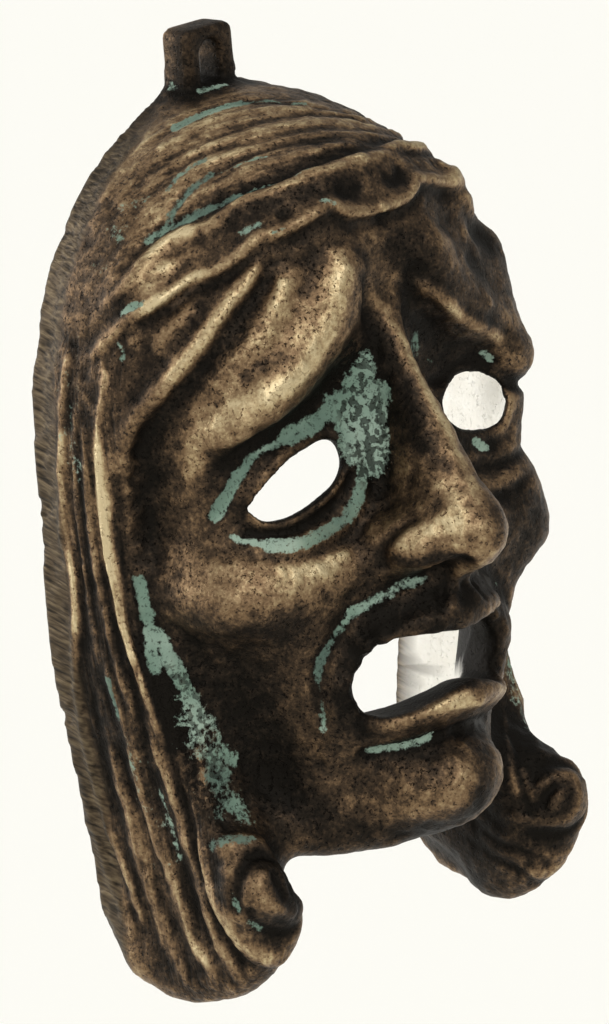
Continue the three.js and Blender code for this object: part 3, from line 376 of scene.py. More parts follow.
    ([(4, 34, 24), (-2, 34, 24), (-10, 34.8, 30), (-18, 33.6, 36)], 5, -0.26),
    ([(5.5, 32, 14), (-2.5, 33, 15.4), (-10.5, 32.6, 16)], 3, -0.12),
    ([(-20, 33, 62), (-24, 30, 68), (-26, 26, 76)], 8, -0.22),
    ([(29, 19, 50), (31, 18, 56), (32, 18, 64)], 5, -0.12),
    ([(25, 28, 53), (22.6, 29.4, 49), (18, 30, 46.4), (12, 30, 45), (8.4, 31, 47), (10, 32, 51.4),
      (15, 31.8, 54), (20, 31, 56), (24.4, 28.6, 56)], 2.2, -0.3),
    ([(-25, 27, 51), (-24, 28, 46), (-18, 29.6, 43.2), (-12.4, 30, 45), (-12, 31, 50),
      (-18, 31, 53.4)], 3, -0.35),
    ([(4, 4, -3), (-4, 4, -3), (-4, 4, 1), (4, 4, 1)], 6.5, -0.85),
    ([(11.4, 34.4, 24.4), (13.6, 33.6, 28), (16.4, 33.2, 31.6)], 2.4, 0.24),
    ([(24.4, 14.9, 18.1), (20.9, 17.3, 15.3), (15, 19.4, 11.4), (8, 22, 9)], 5, 0.24),
    ([(28.8, 22, 46), (28.6, 20.4, 51), (28.6, 20, 57)], 5, 0.16),
    ([(17, 34.2, 59), (11.6, 35.4, 58), (7, 36.6, 55), (4.6, 38, 51.5)], 4.5, 0.26),
    ([(19, 32, 66), (14.6, 33.4, 65.4)], 3.4, 0.12),
    ([(0, 33.6, 17.6), (6, 33.4, 17), (10, 32.6, 15.6)], 1.2, -0.2),
    ([(-0.6, 41.8, 91), (0.6, 41, 96), (6, 38, 98)], 4, -0.16),
    ([(9, 38.6, 85), (6.4, 41, 84.6)], 2.6, -0.24),
    ([(-24, 32, 66), (-21, 33, 71)], 5, -0.2),
    ([(28.4, 27, 43), (26.6, 26.6, 50)], 2.8, -0.14),
]
# Green stains, each only on its own side: path, width in mm and strength
VERDIGRIS = [
    ([(11.8, 8.9, 6.4), (9.9, 9.5, 5.8), (7.9, 10.3, 5.4), (5.6, 11.3, 4.9), (3, 12.5, 4.7)], 1.25, 1.25),
    ([(3.3, 12.4, 4.8), (0.6, 13.2, 4.8), (-1.6, 16, 4.8), (-4.5, 17.5, 5.7)], 0.6, 0.75),
    ([(21.7, 16.4, 15.2), (20.3, 16.6, 14.1), (18.6, 17.2, 12.4), (17.3, 17.9, 11.3),
      (15.8, 18.7, 10.5)], 1.0, 0.8),
    ([(19.8, 14.4, 12.4), (18.3, 14.5, 11.4), (16.5, 15.4, 10.1), (14.8, 16.6, 9.3)], 0.8, 0.8),
    ([(18, 17.1, 11.5), (15.6, 19.1, 10.5), (13, 21.2, 9.8), (10.2, 23.1, 9.2)], 0.7, 0.7),
    ([(25, 14.8, 18), (22.7, 16.1, 16.7), (20.5, 18.7, 15.6), (18.2, 21.2, 14.3),
      (15.9, 23.6, 13.1)], 1.0, 0.85),
    ([(15.9, 23.6, 13.1), (13.2, 25.6, 12.2), (9.7, 28.5, 10.9), (4.6, 28.6, 10.4)], 0.6, 0.7),
    ([(31.6, 15, 26.7), (30.9, 16.7, 25.6), (30, 18.1, 24.9)], 0.8, 0.7),
    ([(18.9, 26, 17.3), (18, 27, 16.8), (17.2, 27.7, 16.4)], 0.9, 0.75),
    ([(16.7, 30.2, 17.3), (15.3, 30.7, 17)], 0.6, 0.6),
    ([(9.2, 31.8, 14.5), (8, 32.9, 15.1)], 0.7, 0.8),
    ([(31.8, 15.2, 30.5), (31.9, 15.7, 31.3), (32.3, 15.6, 32.3)], 0.8, 0.75),
    ([(29, 10, 20.6), (27, 9.6, 18), (24.4, 10.6, 15.4), (20.9, 10.8, 12.6)], 3.4, 0.4),
    ([(34.4, 8, 30), (35, 8, 42), (35, 8, 50)], 4, 0.36),
    ([(32.4, 14, 88), (31.4, 14, 96), (30.8, 15, 103)], 5, 0.32),
    ([(3.5, 5.4, 3.4), (1.6, 5.8, 3.4), (-0.4, 5.7, 3.4)], 1.2, 0.7),
    ([(-33, 16, 63), (-32.4, 16.8, 71), (-31.4, 18.6, 78), (-29.6, 20.6, 85)], 1.5, 0.8),
    ([(-30, 20, 82), (-29.2, 22, 90), (-29.4, 24.6, 95)], 2.4, 0.55),
    ([(-7, 31.4, 37), (-6.4, 31.2, 41), (-7, 32, 46)], 2.2, 0.7),
    ([(-17.2, 31.4, 82), (-17.2, 31.6, 76), (-15.4, 33, 71.4)], 0.9, 0.7),
    ([(-13, 21, 11.4), (-18, 20, 14.6), (-22, 17.6, 18.4)], 1.0, 0.75),
    ([(-34.9, 9, 44), (-35, 8.6, 54), (-34.8, 9, 66)], 1.2, 0.5),
    ([(4.6, 2, 1.6), (4.6, 2, 3)], 1.4, 0.7),
    ([(26.7, 24.8, 53.4), (25.6, 26, 51.1), (24.3, 27.4, 48.3)], 1.3, 1.0),
    ([(24.3, 27.4, 48.3), (22.6, 28.2, 46.3), (20, 29.1, 45.3), (16.7, 29.6, 44.5),
      (12.5, 29.8, 43.8)], 0.9, 0.8),
    ([(4.2, 32, 36.6), (4.6, 31.4, 39.4)], 1.6, 0.9),
    ([(4.6, 31.4, 39.2), (5, 31, 43), (4.6, 32.6, 46.6), (5.6, 33, 50)], 3.1, 1.1),
    ([(2.8, 33, 41.5), (3.2, 32.8, 43.8), (3.7, 33, 45.7)], 2.4, 0.95),
    ([(8.6, 30, 42.4), (7.4, 31.4, 45), (7.6, 32, 48.4)], 2.6, 0.9),
    ([(26, 27, 56.4), (25.5, 27.7, 56.9), (23.6, 29.7, 57.6)], 0.8, 0.75),
    ([(23, 30.4, 57.8), (21.5, 31.8, 58), (18.4, 32.8, 58), (14.3, 33.1, 57.4), (11.1, 33.2, 56.5),
      (8.7, 33.1, 54.7), (7.3, 33, 51.4)], 1.35, 1.0),
    ([(5, 31.2, 39.4), (6.4, 30.6, 41.2), (9.6, 30.2, 43), (13.4, 29.5, 44.3),
      (16.9, 29.3, 44.9)], 1.7, 1.05),
    ([(-10.1, 30.1, 40.6), (-13.3, 30.6, 40.5), (-17, 31.6, 40.6), (-21.4, 30.6, 42.6),
      (-23, 30, 44)], 0.9, 0.9),
    ([(-23, 29.6, 48), (-23.4, 29.4, 50.4), (-22, 30, 54)], 1.7, 0.9),
    ([(-15.5, 31.7, 52.3), (-20.2, 30.5, 55.3), (-23.3, 29.3, 57.1)], 1.0, 0.85),
    ([(17.3, 31.5, 84), (17.5, 31.5, 78.6), (16.8, 31.7, 74.6), (15.1, 33.2, 71.5),
      (13.1, 34.3, 68.9)], 0.85, 0.9),
    ([(13.1, 34.3, 68.7), (9.9, 36, 67.6), (7.2, 38.1, 66), (3.7, 39.3, 65.7)], 1.1, 0.75),
    ([(11.4, 33.1, 87.9), (7.7, 36.1, 87.8), (4.6, 38.4, 87.1)], 0.9, 0.75),
    ([(32.9, 15.8, 61.8), (32.6, 16.3, 65.7), (32.4, 16.6, 70.4), (32.9, 17.3, 73.3)], 1.3, 0.95),
    ([(29.6, 20.1, 76.8), (27.9, 20.8, 80.4), (26.2, 21.4, 84.2), (24.8, 21.9, 87.1)], 1.7, 0.62),
    ([(31.9, 16.9, 69), (30.8, 19.4, 74.1), (29.5, 20.2, 78.1), (28.6, 20.5, 81)], 1.6, 1.05),
    ([(29.9, 19.8, 80), (29, 20.8, 84.3), (28.2, 21.6, 88.6), (27.6, 22.8, 92.1)], 3.8, 0.66),
    ([(28.6, 21, 83), (27, 21.9, 89), (26.4, 24, 94)], 3, 0.66),
    ([(35.1, 10.5, 75), (34.5, 10.8, 80.5)], 0.9, 0.8),
    ([(33.6, 12.1, 83), (32.5, 11.8, 88.6), (31.6, 12.5, 93.5)], 0.8, 0.7),
    ([(31.6, 15, 90), (31.2, 16, 96), (31, 17, 101)], 0.8, 0.6),
    ([(31, 23.6, 97), (28.8, 27.4, 96), (25, 29, 96.2), (22.4, 29.4, 99)], 1.3, 0.9),
    ([(31.6, 26.6, 102), (31, 27.4, 106), (28.6, 28.4, 108.4)], 0.9, 0.7),
    ([(25, 29.4, 104.6), (24, 29.6, 102)], 0.8, 0.6),
]
# Patches eaten into crumbs, each only on its own side: path, width in mm and strength
PITTED = [
    ([(7, 32, 37), (5.4, 31, 41), (5.4, 32.4, 46), (6, 33, 50)], 4.2, 0.85),
    ([(31.4, 19, 76), (29.6, 20.4, 82), (29.1, 22, 90)], 4, 0.7),
    ([(22, 30, 31), (26, 27, 35)], 4, 0.35),
]
# Inner wall beside a corner of the mouth, where the metal shows dark: the pale wash is left off here, so that
# the dark bronze stands as painted shade for the shadowed wall
MOUTH_CORNER_PAINTED_SHADE = [
    (21, 22, 81), (18, 26, 80), (14.5, 31, 79),
]
MOUTH_CORNER_PAINTED_SHADE_REACH = 6
# Openings, seen from the front: towards the right and down
RIGHT_EYE = [
    (24.2, 53), (23.4, 51.2), (21.6, 49.6), (18.4, 47.8), (14.4, 46.8), (10.8, 46.5), (9.2, 47.2),
    (9, 48.4), (9.7, 50.2), (11.4, 51.9), (13.9, 53.1), (17.2, 54.3), (20, 54.9), (22.6, 54.7),
]
LEFT_EYE = [
    (-22.2, 48.4), (-21.4, 46), (-19.4, 44.4), (-16.3, 44), (-13.4, 44.6), (-12, 46), (-12, 48),
    (-13.5, 50), (-16.2, 50.9), (-18.8, 51.2), (-21, 50.6),
]
# Right half of the mouth, from the middle of the upper lip to the middle of the lower one
MOUTH_HOLE = [
    (0, 73.6), (5, 73), (8.2, 73.2), (10.5, 74.6), (12.2, 76.6), (13, 79), (12.2, 81.4), (10.8, 82.9),
    (7.6, 82.3), (4, 80.7), (0, 79.7),
]
# Places filled behind the eyes and the mouth, so that the clay is whole there: middle and radii in mm
FILLINGS = [
    ((16.5, 24.5, 50), (10.5, 6.6, 7.5)),
    ((-16.5, 24.5, 50), (10.5, 6.6, 7.5)),
    ((0, 25, 78), (15.5, 15, 8)),
]
# Strokes that repeat: width and height in mm, and the share of its length over which each fades at its ends
CROWN_FURROW = (0.6, -0.5, 0.15)
CROWN_STRAND = (1.2, 0.25, 0.2)
CROWN_HAIR = (0.45, -0.17, 0.3)
SIDE_HAIR = (0.42, -0.3, 0.2)
EYE_RIM = (0.75, 0.7, 0)
EYE_RIM_GAP = 1.0
# How far from one crown furrow to the next the strand and the fine hairs run
STRAND_SHARE = 0.45
HAIR_SHARES = (0.3, 0.6, 0.8)
# Side strands that lie next to each other, by their place in the list, and where the hairs between them run
NEIGHBOURS = ((0, 7), (7, 2), (2, 1), (8, 6), (6, 3), (3, 4), (4, 5))
SIDE_HAIR_SHARES = (0.35, 0.65)
# Grain of the moulding sand in mm, coarser than real sand because the clay has no finer cells
GRAIN_SIZE = 0.45
GRAIN_HEIGHT = 0.07
GRAIN_SEED = 11
# Edges of the openings in mm, and how much the openings widen with each millimetre of depth
EDGE = 0.9
EYE_FLARE = 1.1
EYE_LIP = 0.5
EYE_FLARE_DEPTH = 5
MOUTH_FLARE = 0.3
MOUTH_FLARE_DEPTH = 4
# The hanging lug keeps its crisp form: heights over the eye's middle, smoothing and swelling in mm
LUG_TOP = 4.8
LUG_FOOT = -4
LUG_BLEND = 2
LUG_EDGE = 1.0
LUG_SOFTENING = 0.35
LUG_SWELLING = 0.5
# Behind the rim the clay goes on as it is at this y in mm, just in front of the rim's plane
RIM_SECTION = -1.0


# Colours


def colour(code, alpha=1.0):
    """Linear colour of an sRGB hex code."""
    parts = [int(code[i:i + 2], 16) / 255 for i in (1, 3, 5)]
    return [part / 12.92 if part <= 0.04045 else ((part + 0.055) / 1.055) ** 2.4 for part in parts] + [alpha]


# Paths


def smooth_path(points, step=1.2):
    """A smooth curve through a few points, cut into short straight stretches."""
    points = np.array(points, float)
    if len(points) < 3:
        count = max(int(np.linalg.norm(points[-1] - points[0]) / step), 1)
        return points[0] + (points[-1] - points[0]) * np.linspace(0, 1, count + 1)[:, None]
    before = np.vstack([2 * points[0] - points[1], points, 2 * points[-1] - points[-2]])
    curve = [points[0]]
    for i in range(len(points) - 1):
        a, b, c, d = before[i:i + 4]
        count = max(int(np.linalg.norm(c - b) / step), 1)
        for t in np.linspace(0, 1, count + 1)[1:]:
            curve.append(0.5 * (2 * b + (c - a) * t + (2 * a - 5 * b + 4 * c - d) * t ** 2
                                + (3 * b - a - 3 * c + d) * t ** 3))
    return np.array(curve)


def between(path, other, share, count=24):
    """A path part of the way from one to another."""
    lines = []
    for each in (path, other):
        line = smooth_path(each, 1.0)
        run = np.concatenate([[0], np.cumsum(np.linalg.norm(np.diff(line, axis=0), axis=1))])
        at = np.linspace(0, run[-1], count)
        lines.append(np.stack([np.interp(at, run, line[:, i]) for i in range(3)], 1))
    return (lines[0] * (1 - share) + lines[1] * share).tolist()


def mirror(path):
    """The same path on the other side of the face."""
    return [[-right, forward, down] for right, forward, down in path]


def in_clay(path):
    """A path as places in the clay: towards the left, towards the wall and up."""
    return np.array([[-right, -forward, -down] for right, forward, down in path], float)


def ring_round(outline, gap, forward=30):
    """A closed path round an opening, a gap in millimetres outside its edge."""
    points = np.array(outline, float)
    middle = points.mean(0)
    away = np.linalg.norm(points - middle, axis=1, keepdims=True)
    points = middle + (points - middle) * (1 + gap / away)
    return [(right, forward, down) for right, down in [*points, points[0]]]


# Clay: a grid of distances inside the surface, worked with strokes of a modelling tool


class Clay:
    """A solid as a grid of depths inside its surface, in millimetres: x, y towards the wall, z up."""

    band = 12
    margin = 3
    margin_behind = 9
    steps_to_surface = 8
    blur_reach = 2.6

    def __init__(self, node, cell):
        mesh = node.data
        places = np.empty(len(mesh.vertices) * 3, np.float32)
        mesh.vertices.foreach_get("co", places)
        places = places.reshape(-1, 3) / MM
        corners = np.empty(len(mesh.loops), np.int32)
        mesh.loops.foreach_get("vertex_index", corners)
        merged, index = np.unique(np.round(places, 3), axis=0, return_inverse=True)
        triangles = index.reshape(-1)[corners].reshape(-1, 3).astype(np.uint32)
        self.cell = cell
        self.first = np.floor((merged.min(0) - self.margin) / cell).astype(int)
        last = np.ceil((merged.max(0) + (self.margin, self.margin_behind, self.margin)) / cell).astype(int)
        self.shape = last - self.first + 1
        self.axes = [np.arange(a, b + 1) * cell for a, b in zip(self.first, last)]
        self.measure(merged, triangles)

    def measure(self, places, triangles, quads=None):
        """Fills the grid with depths inside a closed surface."""
        grid = openvdb.FloatGrid.createLevelSetFromPolygons(
            places.astype(np.float32), triangles, quads,
            transform=openvdb.createLinearTransform(voxelSize=self.cell),
            exBandWidth=self.band, inBandWidth=self.band)
        self.depth = np.zeros(self.shape, np.float32)
        grid.copyToArray(self.depth, ijk=tuple(int(i) for i in self.first))
        self.depth *= -1

    def surface(self):
        """The clay's surface as places in millimetres, triangles and quads."""
        grid = openvdb.FloatGrid(self.cell * self.band)
        grid.copyFromArray(-self.depth)
        grid.transform = openvdb.createLinearTransform(voxelSize=self.cell)
        places, triangles, quads = grid.convertToPolygons(0.0, 0.0)
        return places + self.first * self.cell, triangles, quads

    def true(self):
        """Makes the depths exact again after the clay has been worked."""
        self.measure(*self.surface())

    def blurred(self, reach, field=None):
        """The grid, or another field on it, smoothed over a reach in millimetres."""
        field = self.depth if field is None else field
        sigma = reach / self.cell
        radius = max(int(self.blur_reach * sigma), 1)
        weights = np.exp(-0.5 * (np.arange(-radius, radius + 1) / sigma) ** 2)
        weights = (weights / weights.sum()).astype(np.float32)
        for axis in range(3):
            padded = np.pad(field, [(radius, radius) if i == axis else (0, 0) for i in range(3)], "edge")
            size = field.shape[axis]
            blurred = np.zeros_like(field)
            for i, weight in enumerate(weights):
                part = [slice(None)] * 3
                part[axis] = slice(i, i + size)
                blurred += weight * padded[tuple(part)]
            field = blurred
        return field

    def sample(self, field, places):
        """Values of a field at places in millimetres."""
        at = (places / self.cell - self.first).clip(0, np.array(field.shape) - 1.001)
        low = at.astype(int)
        part = at - low
        total = np.zeros(len(places))
        for corner in np.ndindex(2, 2, 2):
            share = np.prod([part[:, i] if corner[i] else 1 - part[:, i] for i in range(3)], axis=0)
            total += share * field[tuple(low[:, i] + corner[i] for i in range(3))]
        return total

    def onto_surface(self, places):
        """Places moved along the clay's slope onto its surface, at most a millimetre in a step."""
        places = np.array(places, float)
        reach = self.cell
        for _ in range(self.steps_to_surface):
            value = self.sample(self.depth, places)
            slope = np.stack([self.sample(self.depth, places + reach * step)
                              - self.sample(self.depth, places - reach * step) for step in np.eye(3)], 1)
            slope /= 2 * reach
            steepness = (slope ** 2).sum(1).clip(0.3)
            places -= (value / steepness).clip(-1, 1)[:, None] * slope
        return places

    def cells(self, low, high):
        """The first cell and the one past the last, for a box in millimetres."""
        first, last = ((place / self.cell - self.first).astype(int) for place in (low, high))
        return first, last + 2

    def near(self, path, reach):
        """The cells within reach of a path: their window, distance from it and share of the way along it."""
        low, high = self.cells(path.min(0) - reach, path.max(0) + reach)
        low = low.clip(0)
        high = high.clip(None, self.depth.shape)
        distance = np.full(np.maximum(high - low, 0), 9.0 * reach, np.float32)
        share = np.zeros_like(distance)
        for i, (start, end) in enumerate(zip(path[:-1], path[1:])):
            along = end - start
            squared = max(along @ along, 1e-9)
            a, b = self.cells(np.minimum(start, end) - reach, np.maximum(start, end) + reach)
            a, b = a.clip(low, high), b.clip(low, high)
            if (b <= a).any():
                continue
            x, y, z = (axis[p:q] - s for axis, p, q, s in zip(self.axes, a, b, start))
            x, y, z = x[:, None, None], y[None, :, None], z[None, None, :]
            t = ((x * along[0] + y * along[1] + z * along[2]) / squared).clip(0, 1)
            away = np.sqrt((x - t * along[0]) ** 2 + (y - t * along[1]) ** 2 + (z - t * along[2]) ** 2)
            window = tuple(slice(p - q, r - q) for p, r, q in zip(a, b, low))
            closer = away < distance[window]
            distance[window] = np.where(closer, away, distance[window])
            share[window] = np.where(closer, (i + t) / (len(path) - 1), share[window])
        return tuple(slice(a, b) for a, b in zip(low, high)), distance, share


def taper(share, ends):
    """Fades a stroke at its start and its end, over the shares of its length that are given."""
    start, end = ends
    fade = np.ones_like(share)
    if start:
        fade = np.minimum(fade, share / start)
    if end:
        fade = np.minimum(fade, (1 - share) / end)
    return np.sqrt(fade.clip(0, 1))


def press(clay, path, width, height, ends):
    """Raises the clay along a path, or presses it in where the height is negative."""
    line = smooth_path(clay.onto_surface(in_clay(path)))
    window, distance, share = clay.near(clay.onto_surface(line), 3 * width)
    clay.depth[window] += height * taper(share, ends) * np.exp(-(distance / width) ** 2)


def press_alike(clay, paths, stroke):
    """Gives several paths the same stroke, which fades alike at both ends."""
    width, height, end = stroke
    for path in paths:
        press(clay, path, width, height, (end, end))


def smooth_min(a, b, blend):
    """The lesser of two depths, with a rounded edge between them."""
    near = (blend - np.abs(a - b)).clip(0) / blend
    return np.minimum(a, b) - near * near * blend / 4


def ellipsoid(clay, middle, radii):
    """Depth inside an ellipsoid, over the whole grid."""
    axes = (axis.reshape([-1 if i == k else 1 for i in range(3)]) for k, axis in enumerate(clay.axes))
    x, y, z = ((axis + place) / radius for axis, place, radius in zip(axes, middle, radii))
    return ((1 - np.sqrt(x ** 2 + y ** 2 + z ** 2)) * min(radii)).astype(np.float32)


def outside_outline(clay, points):
    """Distance outside a closed outline that is seen from the front, negative within it."""
    closed = -smooth_path([*points, points[0]], 0.6)
    closed[-1] = closed[0]
    x, z = np.meshgrid(clay.axes[0], clay.axes[2], indexing="ij")
    distance = np.full(x.shape, 99.0)
    within = np.zeros(x.shape, bool)
    for (ax, az), (bx, bz) in zip(closed[:-1], closed[1:]):
        ux, uz = bx - ax, bz - az
        t = (((x - ax) * ux + (z - az) * uz) / max(ux * ux + uz * uz, 1e-9)).clip(0, 1)
        distance = np.minimum(distance, np.hypot(x - ax - t * ux, z - az - t * uz))
        if az != bz:
            within ^= ((az > z) != (bz > z)) & (x < ax + (z - az) * ux / uz)
    return np.where(within, -distance, distance)[:, None, :].astype(np.float32)


# Patina: where the bronze is rubbed bright, dark, green, ground flat or inside the casting, with painted
# highlights and painted shade among the bright and dark


def smooth_share(values, low, high):
    """0 up to the low value and 1 from the high one, with a soft rise between."""
    share = ((values - low) / (high - low)).clip(0, 1)
    return share * share * (3 - 2 * share)


def closeness(places, path, width):
    """1 on a path, falling to 0 at a width in millimetres from it."""
    line = smooth_path(in_clay(path), 2.0)
    inside = ((places > line.min(0) - width) & (places < line.max(0) + width)).all(1)
    spots = places[inside]
    away = np.full(len(spots), float(width))
    for start, end in zip(line[:-1], line[1:]):
        along = end - start
        t = ((spots - start) @ along / max(along @ along, 1e-9)).clip(0, 1)
        away = np.minimum(away, np.linalg.norm(spots - start - t[:, None] * along, axis=1))
    result = np.zeros(len(places))
    result[inside] = 1 - away / width
    return result


def strongest(places, strokes, full=None):
    """Strength of the strongest stroke at each place, at its full value over a share of the width."""
    best = np.zeros(len(places))
    for path, width, strength in strokes:
        close = closeness(places, path, width)
        best = np.maximum(best, strength * (smooth_share(close, 0, full) if full else np.sqrt(close)))
    return best


# How much a place stands out over its surroundings: their reach in mm, its weight, and the height in mm at
# which it levels off
PROMINENCE = [(0.7, 0.3, 0.3), (1.6, 0.3, 0.8), (4.5, 0.2, 3)]
# Patina starts and ends over these stretches in mm
HOLLOW_DEPTH = (2.3, 3)
HOLLOW_BEHIND = (0.3, 2.5)
RIM_DEPTH = (4.0, 5.6)
BELOW_THE_EYE = (4, 9)
HAIR_REACH = 4


def lay_patina(mesh, clay, solid, plain):
    """Writes the patina's attributes on the casting's points."""
    places = np.empty(len(mesh.vertices) * 3)
    mesh.vertices.foreach_get("co", places)
    places = places.reshape(-1, 3) / MM
    forward, down = -places[:, 1], -places[:, 2]
    inside = smooth_share(clay.sample(plain, places), *HOLLOW_DEPTH) * smooth_share(forward, *HOLLOW_BEHIND)
    # Painted shade: no pale wash on the inner walls beside the corners of the mouth
    for wall in (MOUTH_CORNER_PAINTED_SHADE, mirror(MOUTH_CORNER_PAINTED_SHADE)):
        inside *= 1 - smooth_share(closeness(places, wall, MOUTH_CORNER_PAINTED_SHADE_REACH), 0, 0.35)
    high = sum(weight * np.tanh(-clay.sample(clay.blurred(reach, solid), places) / limit)
               for reach, weight, limit in PROMINENCE)
    # Painted highlights and painted shade are added here, together with the patina rubbed away or left dark
    for path, width, strength in RUBBED_AND_PAINTED_LIGHT:
        high += strength * smooth_share(closeness(places, path, width), 0, 0.8)
    side_hair = [(each, HAIR_REACH, 1) for path, _, _, _ in SIDE_STRANDS for each in (path, mirror(path))]
    crown_hair = [(path, HAIR_REACH, 1) for path in CROWN_FURROWS]
    layers = {
        "high_places_and_painted_light": high,
        "verdigris": strongest(places, VERDIGRIS),
        "ground_edge": (1 - smooth_share(forward, *RIM_DEPTH)) * smooth_share(down, *BELOW_THE_EYE),
        "inside": inside,
        "pitted": strongest(places, PITTED, 0.5),
        "side_hair": strongest(places, side_hair, 0.6),
        "crown_hair": strongest(places, crown_hair, 0.6),
    }
    for name, values in layers.items():
        layer = mesh.attributes.new(name, "FLOAT", "POINT")
        layer.data.foreach_set("value", values.astype(np.float32))


# Materials


def add_node(tree, kind, settings=(), links=(), stops=()):
    """Adds a shader node with its properties, values and colour stops, and links outputs into its sockets."""
    node = tree.nodes.new("ShaderNode" + kind)
    for name, value in dict(settings).items():
        if isinstance(name, str) and hasattr(node, name) and name not in node.inputs:
            setattr(node, name, value)
        else:
            node.inputs[name].default_value = value
    for name, source in dict(links).items():
        tree.links.new(source, node.inputs[name])
    if stops:
        elements = node.color_ramp.elements
        while len(elements) < len(stops):
            elements.new(0.5)
        for element, (place, shade) in zip(elements, stops):
            element.position = place
            element.color = shade
    return node


def per_metre(size):
    """Scale of a pattern whose repeat is given in millimetres."""
    return 1000 / size


def add_patterns(tree, total, patterns, weights):
    """A total with several patterns added to it, each by its weight."""
    for name, weight in weights.items():
        settings = {"operation": "MULTIPLY_ADD", 1: weight}
        total = add_node(tree, "Math", settings, {0: patterns[name], 2: total}).outputs[0]
    return total


# Patterns of the casting: size of their patches in mm, detail and roughness. The sand and its pits are drawn
# about twice as coarse as real ones, which would be lost at the size of the picture
PATTERNS = {
    "sand": (0.6, 3, 0.65),
    "pits": (0.55, 2, 0.7),
    "gaps": (0.95, 2, 0.5),
    "clumps": (2.6, 4, 0.62),
    "clouds": (13, 3, 0.5),
}
# Patterns drawn out along one axis, the strokes of the file and the fine hairs along the locks and round the
# crown: size in mm, turn in radians and stretch
STREAKS = {
    "file_marks": (0.5, (0.3, 0, 0), (1, 9, 1)),
    "side_hair": (0.9, (-0.08, 0, 0), (1, 1, 12)),
    "crown_hair": (0.9, (0, 0, -0.45), (12, 1, 1)),
}
# How much each pattern, which runs from 0 to 1, adds to the rubbing and to the spread of the green. Both
# start below nothing, because the patterns only add
RUBBING = {"sand": 0.86, "clumps": 0.38, "clouds": 0.4, "hairs": 0.9, "pits": -0.45}
RUBBING_START = -0.42
SPREADING = {"sand": 0.86, "clumps": 1.1}
SPREADING_START = -0.98
# Values of a pattern between which a pit, a gap between crumbs and a green patch begin
PIT_EDGE = {"From Min": 0.58, "From Max": 0.76}
GAP_EDGE = {"From Min": 0.47, "From Max": 0.54}
GREEN_EDGE = {"From Min": 0.45, "From Max": 0.64}
# Heights of the patterns in mm
SAND_HEIGHT = 0.10
HEIGHTS = {"clumps": 0.16, "pits": -0.16, "hairs": 0.4}
FILED_HEIGHT = 0.22


